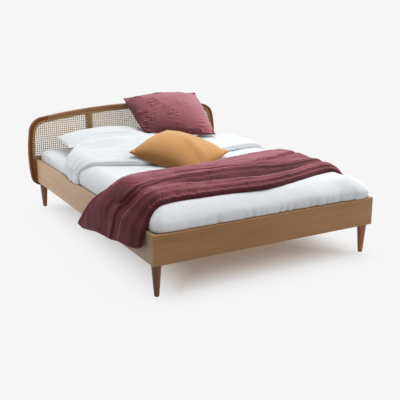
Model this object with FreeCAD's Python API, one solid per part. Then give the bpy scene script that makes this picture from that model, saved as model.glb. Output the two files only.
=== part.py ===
import FreeCAD, Part
import math
import os

os.makedirs("parts", exist_ok=True)

# Double bed with a caned headboard, lengths in millimetres.
# Frame: X across the bed, Y along it with the head at +Y, Z up from the floor.
# The origin is the foot of the centre leg, midway between the foot board's
# outer face and the headboard's front face.

# Bed base
bed_width = 1450.0
bed_length = 1950.0
board_height = 165.0
board_thickness = 25.0
board_edge_radius = 1.5
leg_height = 183.0

# Turned legs and their floor glides
leg_top_radius = 28.0
leg_tip_radius = 14.0
leg_tip_round = 3.0
leg_side_inset = 36.0
leg_foot_inset = 44.0
leg_head_inset = 29.0
glide_thickness = 3.0
glide_radius = 11.0
stud_radius = 4.0
stud_depth = 25.0
insert_radius = 6.0
insert_length = 20.0

# Corner blocks and fasteners
block_size = 60.0
block_height = 60.0
screw_radius = 2.2
screw_head_radius = 4.2
screw_head_height = 2.5
screw_bite = 15.0
bolt_head_radius = 7.0
bolt_head_height = 5.0
bolt_bite = 25.0
fastener_clearance = 0.1
hole_overrun = 1.0
side_screw_height_shares = (0.52, 0.92)
end_screw_height_share = 0.72
end_screw_spacing_shares = (0.56, 0.86)
side_screw_depth_share = 0.62

# Slats, their ledges and the centre beam
slat_top_height = 250.0
slat_thickness = 18.0
slat_width = 70.0
slat_count = 14
slat_end_clearance = 4.0
slat_block_clearance = 5.0
ledge_width = 25.0
ledge_height = 40.0
ledge_screw_count = 6
beam_width = 40.0
beam_height = 45.0
beam_clearance = 0.3
beam_end_clearance = 1.0
centre_leg_radius = 20.0
bracket_steel = 2.5
bracket_depth = 40.0
bracket_flange = 18.0
bracket_screw_height_shares = (0.25, 0.75)
strap_width = 25.0
strap_thickness = 1.5
strap_place_share = 0.6

# Headboard outline
headboard_half_width = 772.0
headboard_top_height = 700.0
headboard_bottom_height = 155.0
headboard_widest_height = 370.0
headboard_top_radius = 4380.0
headboard_side_radius = 1090.0
headboard_top_corner_radius = 112.0
headboard_bottom_corner_radius = 66.0
headboard_depth = 40.0

# Headboard pieces
frame_width = 20.0
frame_edge_radius = 4.0
frame_joint_share = 0.8
lower_panel_top = 350.0
lower_panel_thickness = 32.0
groove_width = 3.0
moulding_width = 20.0
moulding_outer_step = 9.0
moulding_outer_recess = 4.0
moulding_inner_recess = 9.0
cane_recess = 15.0
cane_thickness = 3.0
cane_tuck = 12.0
cane_hole = 22.0
cane_pitch = 38.0
stile_offset = 300.0
stile_thickness = 18.0
back_bead_width = 14.0
back_bead_thickness = 10.0

# Mattress and fitted sheet
rest_clearance = 0.3
mattress_height = 167.4
mattress_side_gap = 12.0
mattress_end_gap = 14.0
mattress_edge_radius = 75.0
mattress_corner_radius = 90.0
sheet_thickness = 2.0
sheet_hem = 120.0

# Duvet, tucked in at the foot and the sides and turned back at the head
duvet_thickness = 45.0
duvet_rail_gap = 3.0
duvet_edge_radius = 113.0
duvet_corner_radius = 130.0
duvet_hem_lift = 4.0
turndown_length = 445.0
turndown_thickness = 48.0
turndown_side_swell = 12.0
# Stations along the turned back part, and how high its soft folds stand there
turndown_station_shares = (0.0, 0.05, 0.2, 0.35, 0.52, 0.66, 0.82, 0.94, 1.0)
turndown_height_shares = (0.3, 0.72, 0.98, 0.8, 1.0, 0.82, 1.0, 0.74, 0.2)

# Pillow
pillow_width = 700.0
pillow_depth = 395.0
pillow_crown = 120.0
pillow_belly = 50.0
pillow_draw = 12.0
pillow_side_gap = 83.0
pillow_head_gap = 6.0
pillow_duvet_gap = 15.0

# Large cushion leaning on the top of the headboard
large_cushion_size = 570.0
large_cushion_crown = 85.0
large_cushion_belly = 65.0
large_cushion_draw = 16.0
large_cushion_lean = 24.2
large_cushion_turn = -12.0
large_cushion_centre_x = 216.0
large_cushion_head_distance = 269.0
large_cushion_top_drop = 69.0

# Small cushion lying on the duvet
small_cushion_size = 465.0
small_cushion_crown = 80.0
small_cushion_belly = 58.0
small_cushion_draw = 14.0
small_cushion_lean = 15.5
small_cushion_turn = 32.6
small_cushion_centre_x = -64.0
small_cushion_fold_distance = 537.0
small_cushion_lift = 59.4

# How a cushion's plan shrinks from its seam to its crown
cushion_level_shares = (0.0, 0.12, 0.3, 0.52, 0.74, 0.9, 0.985)
cushion_corner_share = 0.52

# Throw folded lengthwise and laid across the bed
throw_fold_height = 42.0
throw_valley_height = 14.0
throw_edge_height = 8.0
throw_clearance = 1.5
throw_rail_stand = 8.0
throw_hem_stand = 60.0
throw_drop_head = 200.0
throw_drop_foot = 68.0
throw_fold_place_shares = (0.0, 0.2, 0.46, 0.74, 1.0)
throw_fold_height_shares = (0.9, 1.0, 0.88, 0.96)
# Each station: place across as a share of the duvet's half width, the two
# edges as shares of half the bed's length, and the fold height as a share
throw_top_station_shares = (
    (0.82, -0.19, -0.75, 1.0),
    (0.58, -0.21, -0.78, 1.0),
    (0.15, -0.3, -0.85, 1.0),
    (-0.28, -0.32, -0.895, 1.0),
    (-0.58, -0.29, -0.88, 1.0))
throw_right_end_shares = (-0.21, -0.8, 0.45)
throw_shoulder_stations = (
    (0.0, -0.305, -0.86, 1.0),
    (30.0, -0.31, -0.87, 1.0),
    (60.0, -0.31, -0.9, 1.0))
throw_rail_top_shares = (-0.28, -0.94, 0.95)
throw_rail_side_shares = (-0.24, -0.955, 0.9)
throw_hem_shares = (-0.03, -0.965, 0.7)
throw_arc_step = 30.0
throw_rail_angle = 80.0

# Places worked out from the sizes above
foot_outer = -bed_length / 2
foot_inner = foot_outer + board_thickness
head_front = bed_length / 2
rail_outer = bed_width / 2
rail_inner = rail_outer - board_thickness
rail_top = leg_height + board_height
slat_underside = slat_top_height - slat_thickness
beam_underside = slat_underside - beam_height
mattress_half_width = rail_inner - mattress_side_gap
mattress_foot = foot_inner + mattress_end_gap
mattress_head = head_front - mattress_end_gap
mattress_base = slat_top_height + 2 * rest_clearance + sheet_thickness
mattress_top = mattress_base + mattress_height
sheet_top = mattress_top + rest_clearance + sheet_thickness
pillow_foot_y = mattress_head - pillow_head_gap - pillow_depth
duvet_upper_y = pillow_foot_y - pillow_duvet_gap
duvet_half_width = rail_inner - duvet_rail_gap
duvet_top = sheet_top + rest_clearance + duvet_thickness
duvet_hem = rail_top + duvet_hem_lift
clear_of_all = bed_length


def vec(x, y, z):
    return FreeCAD.Vector(x, y, z)


def box(x0, x1, y0, y1, z0, z1):
    return Part.makeBox(x1 - x0, y1 - y0, z1 - z0, vec(x0, y0, z0))


def export(node, solids):
    shape = solids if hasattr(solids, "exportStep") else Part.makeCompound(solids)
    shape.exportStep("parts/" + node + ".step")


def along(shape, direction):
    """The straight edges of a shape that run along one direction."""
    found = []
    for edge in shape.Edges:
        if isinstance(edge.Curve, Part.Line):
            if abs(edge.Curve.Direction.dot(direction)) > 1 - 1e-6:
                found.append(edge)
    return found


def polygon_wire(points):
    return Part.makePolygon(points + [points[0]])


# Fasteners

def screw(point, direction, length, extra=0.0):
    """A countersunk wood screw, its head flush at the point."""
    shank = Part.makeCylinder(screw_radius + extra, length + extra, point, direction)
    head = Part.makeCone(screw_head_radius + extra, screw_radius + extra,
                         screw_head_height, point, direction)
    return shank.fuse(head)


def stud(x, y, top):
    """A plain threaded rod that joins a leg's top to what is above it."""
    return Part.makeCylinder(stud_radius, 2 * stud_depth, vec(x, y, top - stud_depth))


def threaded_insert(point, direction):
    outside = Part.makeCylinder(insert_radius, insert_length, point, direction)
    bore = Part.makeCylinder(stud_radius + fastener_clearance, insert_length, point, direction)
    return outside.cut(bore)


def insert_hole(point, direction, depth):
    """The pocket for an insert, with a narrower hole behind it for the rod's end."""
    pocket = Part.makeCylinder(insert_radius + fastener_clearance, insert_length,
                               point, direction)
    pilot = Part.makeCylinder(stud_radius + fastener_clearance, depth + hole_overrun,
                              point, direction)
    return pocket.fuse(pilot)


# Corners: four blocks inside the boards, each over a leg

def corner_places():
    """Name, side, end direction, block face at the end board, leg centre."""
    places = []
    for end_name, end, board_face, leg_y in (
            ("foot", -1, foot_inner, foot_outer + leg_foot_inset),
            ("head", 1, head_front, head_front - leg_head_inset)):
        for side_name, side in (("left", -1), ("right", 1)):
            leg_x = side * (rail_outer - leg_side_inset)
            places.append((end_name + "_" + side_name, side, end, board_face, leg_x, leg_y))
    return places


def corner_side_screws(side, end, board_face):
    """Where the screws from a corner block into the side rail start, and their way."""
    y = board_face - end * block_size * side_screw_depth_share
    x = side * (rail_inner - block_size)
    return [(vec(x, y, leg_height + block_height * share), vec(side, 0, 0))
            for share in side_screw_height_shares]


def corner_end_fasteners(side, end, board_face):
    """Where the fasteners from a corner block into the foot or head board start."""
    y = board_face - end * block_size
    z = leg_height + block_height * end_screw_height_share
    return [(vec(side * (rail_inner - block_size * share), y, z), vec(0, end, 0))
            for share in end_screw_spacing_shares]


def make_corners(rails, foot_board, lower_panel):
    """Blocks, legs and their fasteners. Returns the boards with their holes."""
    block_screws = []
    head_bolts = []
    head_inserts = []
    leg_studs = []
    leg_inserts = []
    up = vec(0, 0, 1)
    for name, side, end, board_face, leg_x, leg_y in corner_places():
        x0, x1 = sorted((side * rail_inner, side * (rail_inner - block_size)))
        y0, y1 = sorted((board_face, board_face - end * block_size))
        block = box(x0, x1, y0, y1, leg_height, leg_height + block_height)
        for point, way in corner_side_screws(side, end, board_face):
            length = block_size + screw_bite
            block_screws.append(screw(point, way, length))
            hole = screw(point, way, length, fastener_clearance)
            block = block.cut(hole)
            rails[side] = rails[side].cut(hole)
        for point, way in corner_end_fasteners(side, end, board_face):
            if end < 0:
                length = block_size + screw_bite
                block_screws.append(screw(point, way, length))
                hole = screw(point, way, length, fastener_clearance)
                block = block.cut(hole)
                foot_board = foot_board.cut(hole)
            else:
                shank = Part.makeCylinder(stud_radius, block_size + bolt_bite, point, way)
                head = Part.makeCylinder(bolt_head_radius, bolt_head_height, point, way * -1)
                head_bolts.append(shank.fuse(head))
                hole = Part.makeCylinder(stud_radius + fastener_clearance, block_size,
                                         point, way)
                block = block.cut(hole)
                seat = point + way * block_size
                head_inserts.append(threaded_insert(seat, way))
                lower_panel = lower_panel.cut(insert_hole(seat, way, bolt_bite))
        seat = vec(leg_x, leg_y, leg_height)
        block = block.cut(insert_hole(seat, up, stud_depth))
        leg_inserts.append(threaded_insert(seat, up))
        leg_studs.append(stud(leg_x, leg_y, leg_height))
        rails[side] = rails[side].cut(insert_hole(seat, up, stud_depth))
        export("corner_block_" + name, block)
        export("leg_" + name, turned_leg(leg_x, leg_y, leg_top_radius, leg_height))
        export("glide_" + name, glide(leg_x, leg_y))
    leg_inserts.append(threaded_insert(vec(0, 0, beam_underside), up))
    leg_studs.append(stud(0, 0, beam_underside))
    export("glide_centre", glide(0, 0))
    export("centre_leg", turned_leg(0, 0, centre_leg_radius, beam_underside))
    export("leg_studs", leg_studs)
    export("leg_inserts", leg_inserts)
    export("block_screws", block_screws)
    export("headboard_bolts", head_bolts)
    export("headboard_inserts", head_inserts)
    return rails, foot_board, lower_panel


def turned_leg(x, y, top_radius, top):
    """A round leg that tapers to a softly rounded tip on its glide."""
    leg = Part.makeCone(leg_tip_radius, top_radius, top - glide_thickness,
                        vec(x, y, glide_thickness))
    tip = [edge for edge in leg.Edges
           if isinstance(edge.Curve, Part.Circle) and edge.Curve.Center.z < top / 2]
    leg = leg.makeFillet(leg_tip_round, tip)
    hole = Part.makeCylinder(stud_radius + fastener_clearance, stud_depth + hole_overrun,
                             vec(x, y, top), vec(0, 0, -1))
    return leg.cut(hole)


def glide(x, y):
    return Part.makeCylinder(glide_radius, glide_thickness, vec(x, y, 0))


# Bed base boards

def side_rail(side):
    x0, x1 = sorted((side * rail_inner, side * rail_outer))
    rail = box(x0, x1, foot_inner, head_front, leg_height, rail_top)
    return rail.makeFillet(board_edge_radius, along(rail, vec(0, 1, 0)))


def make_foot_board():
    board = box(-rail_outer, rail_outer, foot_outer, foot_inner, leg_height, rail_top)
    outer = [edge for edge in along(board, vec(1, 0, 0)) + along(board, vec(0, 0, 1))
             if edge.CenterOfMass.y < foot_outer + board_edge_radius]
    return board.makeFillet(board_edge_radius, outer)


# Slat support

def make_ledges(rails):
    screws = []
    length = ledge_width + screw_bite
    y0 = foot_inner + block_size
    y1 = head_front - block_size
    z = slat_underside - ledge_height / 2
    for name, side in (("left", -1), ("right", 1)):
        inner = side * (rail_inner - ledge_width)
        x0, x1 = sorted((inner, side * rail_inner))
        ledge = box(x0, x1, y0, y1, slat_underside - ledge_height, slat_underside)
        for index in range(ledge_screw_count):
            y = y0 + (y1 - y0) * (index + 0.5) / ledge_screw_count
            point = vec(inner, y, z)
            screws.append(screw(point, vec(side, 0, 0), length))
            hole = screw(point, vec(side, 0, 0), length, fastener_clearance)
            ledge = ledge.cut(hole)
            rails[side] = rails[side].cut(hole)
        export("slat_ledge_" + name, ledge)
    export("ledge_screws", screws)
    return rails


def make_beam(foot_board, lower_panel):
    half = beam_width / 2
    cheek = half + beam_clearance
    end_gap = bracket_steel + beam_end_clearance
    beam = box(-half, half, foot_inner + end_gap, head_front - end_gap,
               beam_underside, slat_underside)
    beam = beam.cut(insert_hole(vec(0, 0, beam_underside), vec(0, 0, 1), stud_depth))
    export("centre_beam", beam)
    screws = []
    wide = cheek + bracket_steel + bracket_flange
    for name, end, face in (("foot", -1, foot_inner), ("head", 1, head_front)):
        inner = face - end * bracket_steel
        back = box(-wide, wide, *sorted((face, inner)), beam_underside - bracket_steel,
                   slat_underside)
        reach = sorted((face, face - end * bracket_depth))
        shelf = box(-cheek - bracket_steel, cheek + bracket_steel, *reach,
                    beam_underside - bracket_steel, beam_underside)
        bracket = back.fuse(shelf)
        for side in (-1, 1):
            cheeks = sorted((side * cheek, side * (cheek + bracket_steel)))
            bracket = bracket.fuse(box(*cheeks, *reach, beam_underside, slat_underside))
            for share in bracket_screw_height_shares:
                x = side * (wide - bracket_flange / 2)
                point = vec(x, inner, beam_underside + beam_height * share)
                way = vec(0, end, 0)
                screws.append(screw(point, way, screw_bite))
                hole = screw(point, way, screw_bite, fastener_clearance)
                bracket = bracket.cut(hole)
                if end < 0:
                    foot_board = foot_board.cut(hole)
                else:
                    lower_panel = lower_panel.cut(hole)
        export("beam_bracket_" + name, bracket.removeSplitter())
    export("bracket_screws", screws)
    return foot_board, lower_panel


def make_slats():
    half = rail_inner - slat_end_clearance
    first = foot_inner + block_size + slat_block_clearance
    last = head_front - block_size - slat_block_clearance - slat_width
    slats = []
    for index in range(slat_count):
        y = first + (last - first) * index / (slat_count - 1)
        slats.append(box(-half, half, y, y + slat_width, slat_underside, slat_top_height))
    export("slats", slats)
    for name, side in (("left", -1), ("right", 1)):
        x = side * rail_inner * strap_place_share
        strap = box(x - strap_width / 2, x + strap_width / 2, first, last + slat_width,
                    slat_underside - strap_thickness, slat_underside)
        export("slat_strap_" + name, strap)


# Headboard, drawn in the XZ plane and extruded along Y

def meeting_point(centre_a, radius_a, centre_b, radius_b):
    """The outer of the two points where two circles in the XZ plane cross."""
    gap = centre_b - centre_a
    along_gap = (radius_a ** 2 - radius_b ** 2 + gap.Length ** 2) / (2 * gap.Length)
    across = math.sqrt(radius_a ** 2 - along_gap ** 2)
    unit = gap.normalize()
    side = vec(unit.z, 0, -unit.x)
    return centre_a + unit * along_gap + side * across


def outward(centre, point, radius):
    """The point of a circle that lies in the direction of another point."""
    return centre + (point - centre).normalize() * radius


def headboard_face(inset=0.0):
    """The headboard's outline at y = 0, shrunk by an inset: arcs that run into each other."""
    low = headboard_bottom_height + inset
    top_radius = headboard_top_radius - inset
    side_radius = headboard_side_radius - inset
    top_corner = headboard_top_corner_radius - inset
    low_corner = headboard_bottom_corner_radius - inset
    top_centre = vec(0, 0, headboard_top_height - headboard_top_radius)
    side_centre = vec(headboard_half_width - headboard_side_radius, 0, headboard_widest_height)
    upper = meeting_point(top_centre, top_radius - top_corner,
                          side_centre, side_radius - top_corner)
    lower_z = low + low_corner
    reach = math.sqrt((side_radius - low_corner) ** 2 - (lower_z - side_centre.z) ** 2)
    lower = vec(side_centre.x + reach, 0, lower_z)
    foot = vec(lower.x, 0, low)
    side_low = outward(side_centre, lower, side_radius)
    side_high = outward(side_centre, upper, side_radius)
    top_end = outward(top_centre, upper, top_radius)
    arcs = ((foot, outward(lower, (foot + side_low) * 0.5, low_corner), side_low),
            (side_low, outward(side_centre, (side_low + side_high) * 0.5, side_radius),
             side_high),
            (side_high, outward(upper, (side_high + top_end) * 0.5, top_corner), top_end))
    right = [Part.Arc(*points) for points in arcs]
    left = [Part.Arc(*[vec(-point.x, 0, point.z) for point in reversed(points)])
            for points in reversed(arcs)]
    top = Part.Arc(top_end, vec(0, 0, headboard_top_height - inset), mirrored(top_end))
    base = Part.LineSegment(mirrored(foot), foot)
    edges = [edge.toShape() for edge in [base] + right + [top] + left]
    return Part.Face(Part.Wire(edges))


def mirrored(point):
    return vec(-point.x, 0, point.z)


def slab_at(face, front, thickness):
    """A flat piece with this outline, its front this far behind the headboard's front."""
    slab = face.extrude(vec(0, thickness, 0))
    slab.translate(vec(0, head_front + front, 0))
    return slab


def region(x0, x1, z0, z1):
    return box(x0, x1, head_front - clear_of_all, head_front + clear_of_all, z0, z1)


def largest_solid(shape):
    return max(shape.Solids, key=lambda one: one.Volume)


def make_headboard_frame():
    """The bent outer frame: a top rail, two sides with their corners, a bottom rail."""
    outer = slab_at(headboard_face(), 0, headboard_depth)
    rims = [edge for edge in outer.Edges
            if max(abs(v.Point.y - edge.CenterOfMass.y) for v in edge.Vertexes) < rest_clearance]
    outer = outer.makeFillet(frame_edge_radius, rims)
    inner = slab_at(headboard_face(frame_width), -hole_overrun,
                    headboard_depth + 2 * hole_overrun)
    ring = outer.cut(inner)
    joint = headboard_half_width * frame_joint_share
    middle = (headboard_bottom_height + headboard_top_height) / 2
    wide = clear_of_all
    export("headboard_top_rail", ring.common(region(-joint, joint, middle, wide)))
    export("headboard_bottom_rail", ring.common(region(-joint, joint, 0, middle)))
    export("headboard_side_left", ring.common(region(-wide, -joint, 0, wide)))
    export("headboard_side_right", ring.common(region(joint, wide, 0, wide)))


def make_lower_panel():
    panel = slab_at(headboard_face(frame_width), 0, lower_panel_thickness)
    return panel.common(region(-clear_of_all, clear_of_all, 0, lower_panel_top))


def opening_names():
    """The three caned openings: name, and the part of the width that each takes."""
    edge = stile_offset + groove_width / 2
    core = stile_offset - groove_width / 2
    return (("left", -clear_of_all, -edge), ("centre", -core, core),
            ("right", edge, clear_of_all))


def opening_slab(name_range, inset, front, thickness):
    """One caned opening's outline, shrunk by an inset, as a flat piece."""
    name, x0, x1 = name_range
    field = slab_at(headboard_face(frame_width + groove_width + inset), front, thickness)
    return field.common(region(x0 + inset, x1 - inset, lower_panel_top + inset, clear_of_all))


def strips(band, name_range, width):
    """A band round an opening, cut into bottom, left, right and top strips."""
    name, x0, x1 = name_range
    floor = lower_panel_top + width
    limit = headboard_half_width - frame_width - groove_width
    corner = headboard_top_corner_radius
    left = x0 + width if x0 > -limit else -limit + corner
    right = x1 - width if x1 < limit else limit - corner
    cuts = (region(-clear_of_all, clear_of_all, 0, floor),
            region(-clear_of_all, left, floor, clear_of_all),
            region(right, clear_of_all, floor, clear_of_all),
            region(left, right, floor, clear_of_all))
    pieces = []
    for cut in cuts:
        pieces += band.common(cut).Solids
    return pieces


def make_openings():
    for name_range in opening_names():
        name = name_range[0]
        step = moulding_outer_step
        outer_depth = cane_recess - moulding_outer_recess
        inner_depth = cane_recess - moulding_inner_recess
        outer_band = opening_slab(name_range, 0, moulding_outer_recess, outer_depth).cut(
            opening_slab(name_range, step, 0, cane_recess))
        inner_band = opening_slab(name_range, step, moulding_inner_recess, inner_depth).cut(
            opening_slab(name_range, moulding_width, 0, cane_recess))
        moulding = outer_band.fuse(inner_band).removeSplitter()
        export("moulding_" + name, strips(moulding, name_range, moulding_width))
        export("cane_" + name, cane_panel(name_range))
        behind = cane_recess + cane_thickness
        bead = opening_slab(name_range, 0, behind, back_bead_thickness).cut(
            opening_slab(name_range, back_bead_width, behind - hole_overrun,
                         back_bead_thickness + 2 * hole_overrun))
        for stile_x in (-stile_offset, stile_offset):
            bead = bead.cut(region(stile_x - stile_half_width, stile_x + stile_half_width,
                                   0, clear_of_all))
        export("back_bead_" + name, strips(bead, name_range, back_bead_width))


def cane_panel(name_range):
    """A flat net: one holed face, extruded. Its holes keep clear of the mouldings."""
    tuck = moulding_width - cane_tuck
    sheet = opening_slab(name_range, tuck, 0, cane_thickness)
    flat = max((one for one in sheet.Faces if abs(one.CenterOfMass.y - head_front)
                < cane_thickness / 2), key=lambda one: one.Area)
    margin = moulding_width + (cane_pitch - cane_hole) / 2
    clear = opening_slab(name_range, margin, 0, cane_thickness)
    bounds = clear.BoundBox
    wires = [flat.OuterWire]
    columns = int(bounds.XLength // cane_pitch)
    rows = int(bounds.ZLength // cane_pitch)
    half = cane_hole / 2
    middle = head_front + cane_thickness / 2
    for column in range(columns):
        x = bounds.Center.x + (column - (columns - 1) / 2) * cane_pitch
        for row in range(rows):
            z = bounds.Center.z + (row - (rows - 1) / 2) * cane_pitch
            corners = [(x - half, z - half), (x + half, z - half),
                       (x + half, z + half), (x - half, z + half)]
            if all(clear.isInside(vec(cx, middle, cz), rest_clearance, True)
                   for cx, cz in corners):
                wires.append(polygon_wire([vec(cx, head_front, cz) for cx, cz in corners]))
    net = Part.makeFace(wires, "Part::FaceMakerBullseye")
    panel = net.extrude(vec(0, cane_thickness, 0))
    panel.translate(vec(0, cane_recess, 0))
    print("cane", name_range[0], "gaps", len(wires) - 1)
    return panel


def make_stiles():
    field = slab_at(headboard_face(frame_width), cane_recess + cane_thickness,
                    stile_thickness)
    for name, side in (("left", -1), ("right", 1)):
        x = side * stile_offset
        stile = field.common(region(x - stile_half_width, x + stile_half_width,
                                    lower_panel_top, clear_of_all))
        export("stile_" + name, stile)


# Mattress and fitted sheet

def rounded_block(half_width, foot, head, base, top, edge_radius, corner_radius):
    """A block with rounded upright corners and a rounded top edge."""
    block = box(-half_width, half_width, foot, head, base, top)
    block = block.makeFillet(corner_radius, along(block, vec(0, 0, 1)))
    rim = [edge for edge in block.Edges
           if min(vertex.Point.z for vertex in edge.Vertexes) > top - rest_clearance]
    return block.makeFillet(edge_radius, rim)


def mattress_block(grow):
    return rounded_block(mattress_half_width + grow, mattress_foot - grow,
                         mattress_head + grow, mattress_base - grow, mattress_top + grow,
                         mattress_edge_radius + grow, mattress_corner_radius + grow)


def make_mattress():
    export("mattress", mattress_block(0))
    sheet = mattress_block(rest_clearance + sheet_thickness).cut(mattress_block(rest_clearance))
    opening = box(-mattress_half_width + sheet_hem, mattress_half_width - sheet_hem,
                  mattress_foot + sheet_hem, mattress_head - sheet_hem,
                  mattress_base - clear_of_all, mattress_base)
    export("fitted_sheet", sheet.cut(opening))


# Duvet

def loaf_wire(y, half_width, base, top):
    """A cross-section with a flat top and two round shoulders."""
    radius = top - base
    inner = half_width - radius
    diagonal = radius * math.sqrt(0.5)
    points = (vec(-half_width, y, base),
              vec(-inner - diagonal, y, base + diagonal),
              vec(-inner, y, top),
              vec(inner, y, top),
              vec(inner + diagonal, y, base + diagonal),
              vec(half_width, y, base))
    return Part.Wire([Part.Arc(points[0], points[1], points[2]).toShape(),
                      Part.LineSegment(points[2], points[3]).toShape(),
                      Part.Arc(points[3], points[4], points[5]).toShape(),
                      Part.LineSegment(points[5], points[0]).toShape()])


def make_duvet():
    below = duvet_top - duvet_edge_radius - board_height
    body = rounded_block(duvet_half_width, foot_inner + duvet_rail_gap,
                         duvet_upper_y + duvet_corner_radius, below, duvet_top,
                         duvet_edge_radius, duvet_corner_radius)
    body = body.cut(box(-clear_of_all, clear_of_all, duvet_upper_y, clear_of_all,
                        0, clear_of_all))
    wires = []
    for place, height in zip(turndown_station_shares, turndown_height_shares):
        y = duvet_upper_y - turndown_length * (1 - place)
        wires.append(loaf_wire(y, duvet_half_width + turndown_side_swell * height, duvet_hem,
                               duvet_top + turndown_thickness * height))
    turndown = Part.makeLoft(wires, True, False)
    duvet = body.fuse(turndown)
    duvet = duvet.cut(box(-clear_of_all, clear_of_all, -clear_of_all, clear_of_all,
                          0, duvet_hem))
    duvet = largest_solid(duvet.cut(mattress_block(2 * rest_clearance + sheet_thickness)))
    export("duvet", duvet)
    return duvet.optimalBoundingBox().ZMax


# Cushions and pillow

def cushion_wire(x, y, z, bow_x, bow_y):
    """A four-sided outline with these half sizes, its sides bowed out by these heights."""
    corners = (vec(-x, -y, z), vec(x, -y, z), vec(x, y, z), vec(-x, y, z))
    bows = (vec(0, -y - bow_y, z), vec(x + bow_x, 0, z), vec(0, y + bow_y, z),
            vec(-x - bow_x, 0, z))
    edges = [Part.Arc(corners[i], bows[i], corners[(i + 1) % 4]).toShape() for i in range(4)]
    return Part.Wire(edges)


def cushion_half(width, depth, crown, draw):
    """One side of a cushion, from its seam at z = 0 up to its crown.

    The middles of its sides follow an ellipse, its corners fall away faster.
    """
    wires = []
    for level in cushion_level_shares:
        side = math.sqrt(1 - level ** 2)
        corner = (1 - level) ** cushion_corner_share
        x = width / 2 * corner
        y = depth / 2 * corner
        wires.append(cushion_wire(x, y, crown * level, (width / 2 - draw) * side - x,
                                  (depth / 2 - draw) * side - y))
    return Part.makeLoft(wires, True, False)


def cushion(width, depth, crown, belly, draw):
    upper = cushion_half(width, depth, crown, draw)
    lower = cushion_half(width, depth, belly, draw)
    lower = lower.mirror(vec(0, 0, 0), vec(0, 0, 1))
    return largest_solid(upper.fuse(lower).removeSplitter())


def lean_and_turn(shape, turn_first, lean, turn_last, centre):
    """Turn about Z, lean back about X, turn about Z again, then move to the centre."""
    placed = shape.copy()
    for angle, axis in ((turn_first, vec(0, 0, 1)), (lean, vec(1, 0, 0)),
                        (turn_last, vec(0, 0, 1))):
        placed.rotate(vec(0, 0, 0), axis, angle)
    placed.translate(centre)
    return placed


def large_cushion(grow):
    shape = cushion(large_cushion_size + 2 * grow, large_cushion_size + 2 * grow,
                    large_cushion_crown + grow, large_cushion_belly + grow,
                    large_cushion_draw)
    centre = vec(large_cushion_centre_x, head_front - large_cushion_head_distance,
                 headboard_top_height - large_cushion_top_drop)
    return lean_and_turn(shape, 0, large_cushion_lean, large_cushion_turn, centre)


def below_plane(height):
    return box(-clear_of_all, clear_of_all, -clear_of_all, clear_of_all,
               height - clear_of_all, height)


def make_cushions(fold_top):
    """Each soft piece is pressed flat, or dented, where it rests on another."""
    on_turndown = below_plane(fold_top + rest_clearance)
    over_rail = slab_at(headboard_face(-rest_clearance), -rest_clearance,
                        headboard_depth + 2 * rest_clearance)
    large = large_cushion(0).cut(on_turndown).cut(over_rail)
    export("large_cushion", largest_solid(large))

    small = cushion(small_cushion_size, small_cushion_size, small_cushion_crown,
                    small_cushion_belly, small_cushion_draw)
    centre = vec(small_cushion_centre_x, duvet_upper_y - small_cushion_fold_distance,
                 duvet_top + small_cushion_lift)
    small = lean_and_turn(small, small_cushion_turn, small_cushion_lean, 0, centre)
    turndown_foot = duvet_upper_y - turndown_length
    on_fold = on_turndown.common(box(-clear_of_all, clear_of_all,
                                     turndown_foot - rest_clearance, clear_of_all,
                                     -clear_of_all, clear_of_all))
    small = small.cut(below_plane(duvet_top + rest_clearance)).cut(on_fold)
    export("small_cushion", largest_solid(small))

    pillow = cushion(pillow_width, pillow_depth, pillow_crown, pillow_belly, pillow_draw)
    pillow.translate(vec(pillow_side_gap + pillow_width / 2 - mattress_half_width,
                         pillow_foot_y + pillow_depth / 2, sheet_top + pillow_belly))
    pillow = pillow.cut(below_plane(sheet_top + rest_clearance))
    export("pillow", largest_solid(pillow.cut(large_cushion(rest_clearance))))


# Throw

def throw_wire(head_point, foot_point, normal, height_share):
    """A section across the throw: its flat side down, four soft folds above it."""
    span = foot_point - head_point
    edge = normal * throw_edge_height
    valley = normal * throw_valley_height
    places = throw_fold_place_shares
    lifts = [edge] + [valley] * (len(places) - 2) + [edge]
    rims = [head_point + span * place + lift for place, lift in zip(places, lifts)]
    parts = [Part.LineSegment(head_point, rims[0]).toShape()]
    for index, share in enumerate(throw_fold_height_shares):
        middle = head_point + span * ((places[index] + places[index + 1]) / 2)
        crest = middle + normal * (throw_fold_height * share * height_share)
        parts.append(Part.Arc(rims[index], crest, rims[index + 1]).toShape())
    parts.append(Part.LineSegment(rims[-1], foot_point).toShape())
    parts.append(Part.LineSegment(foot_point, head_point).toShape())
    return Part.Wire(parts)


def throw_station(x, z, angle, shares):
    """One section, its flat side on the point (x, z), leaning out by the angle."""
    head, foot, height = shares
    way = math.radians(angle)
    normal = vec(math.sin(way), 0, math.cos(way))
    half = bed_length / 2
    return throw_wire(vec(x, head * half, z), vec(x, foot * half, z), normal, height)


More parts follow.
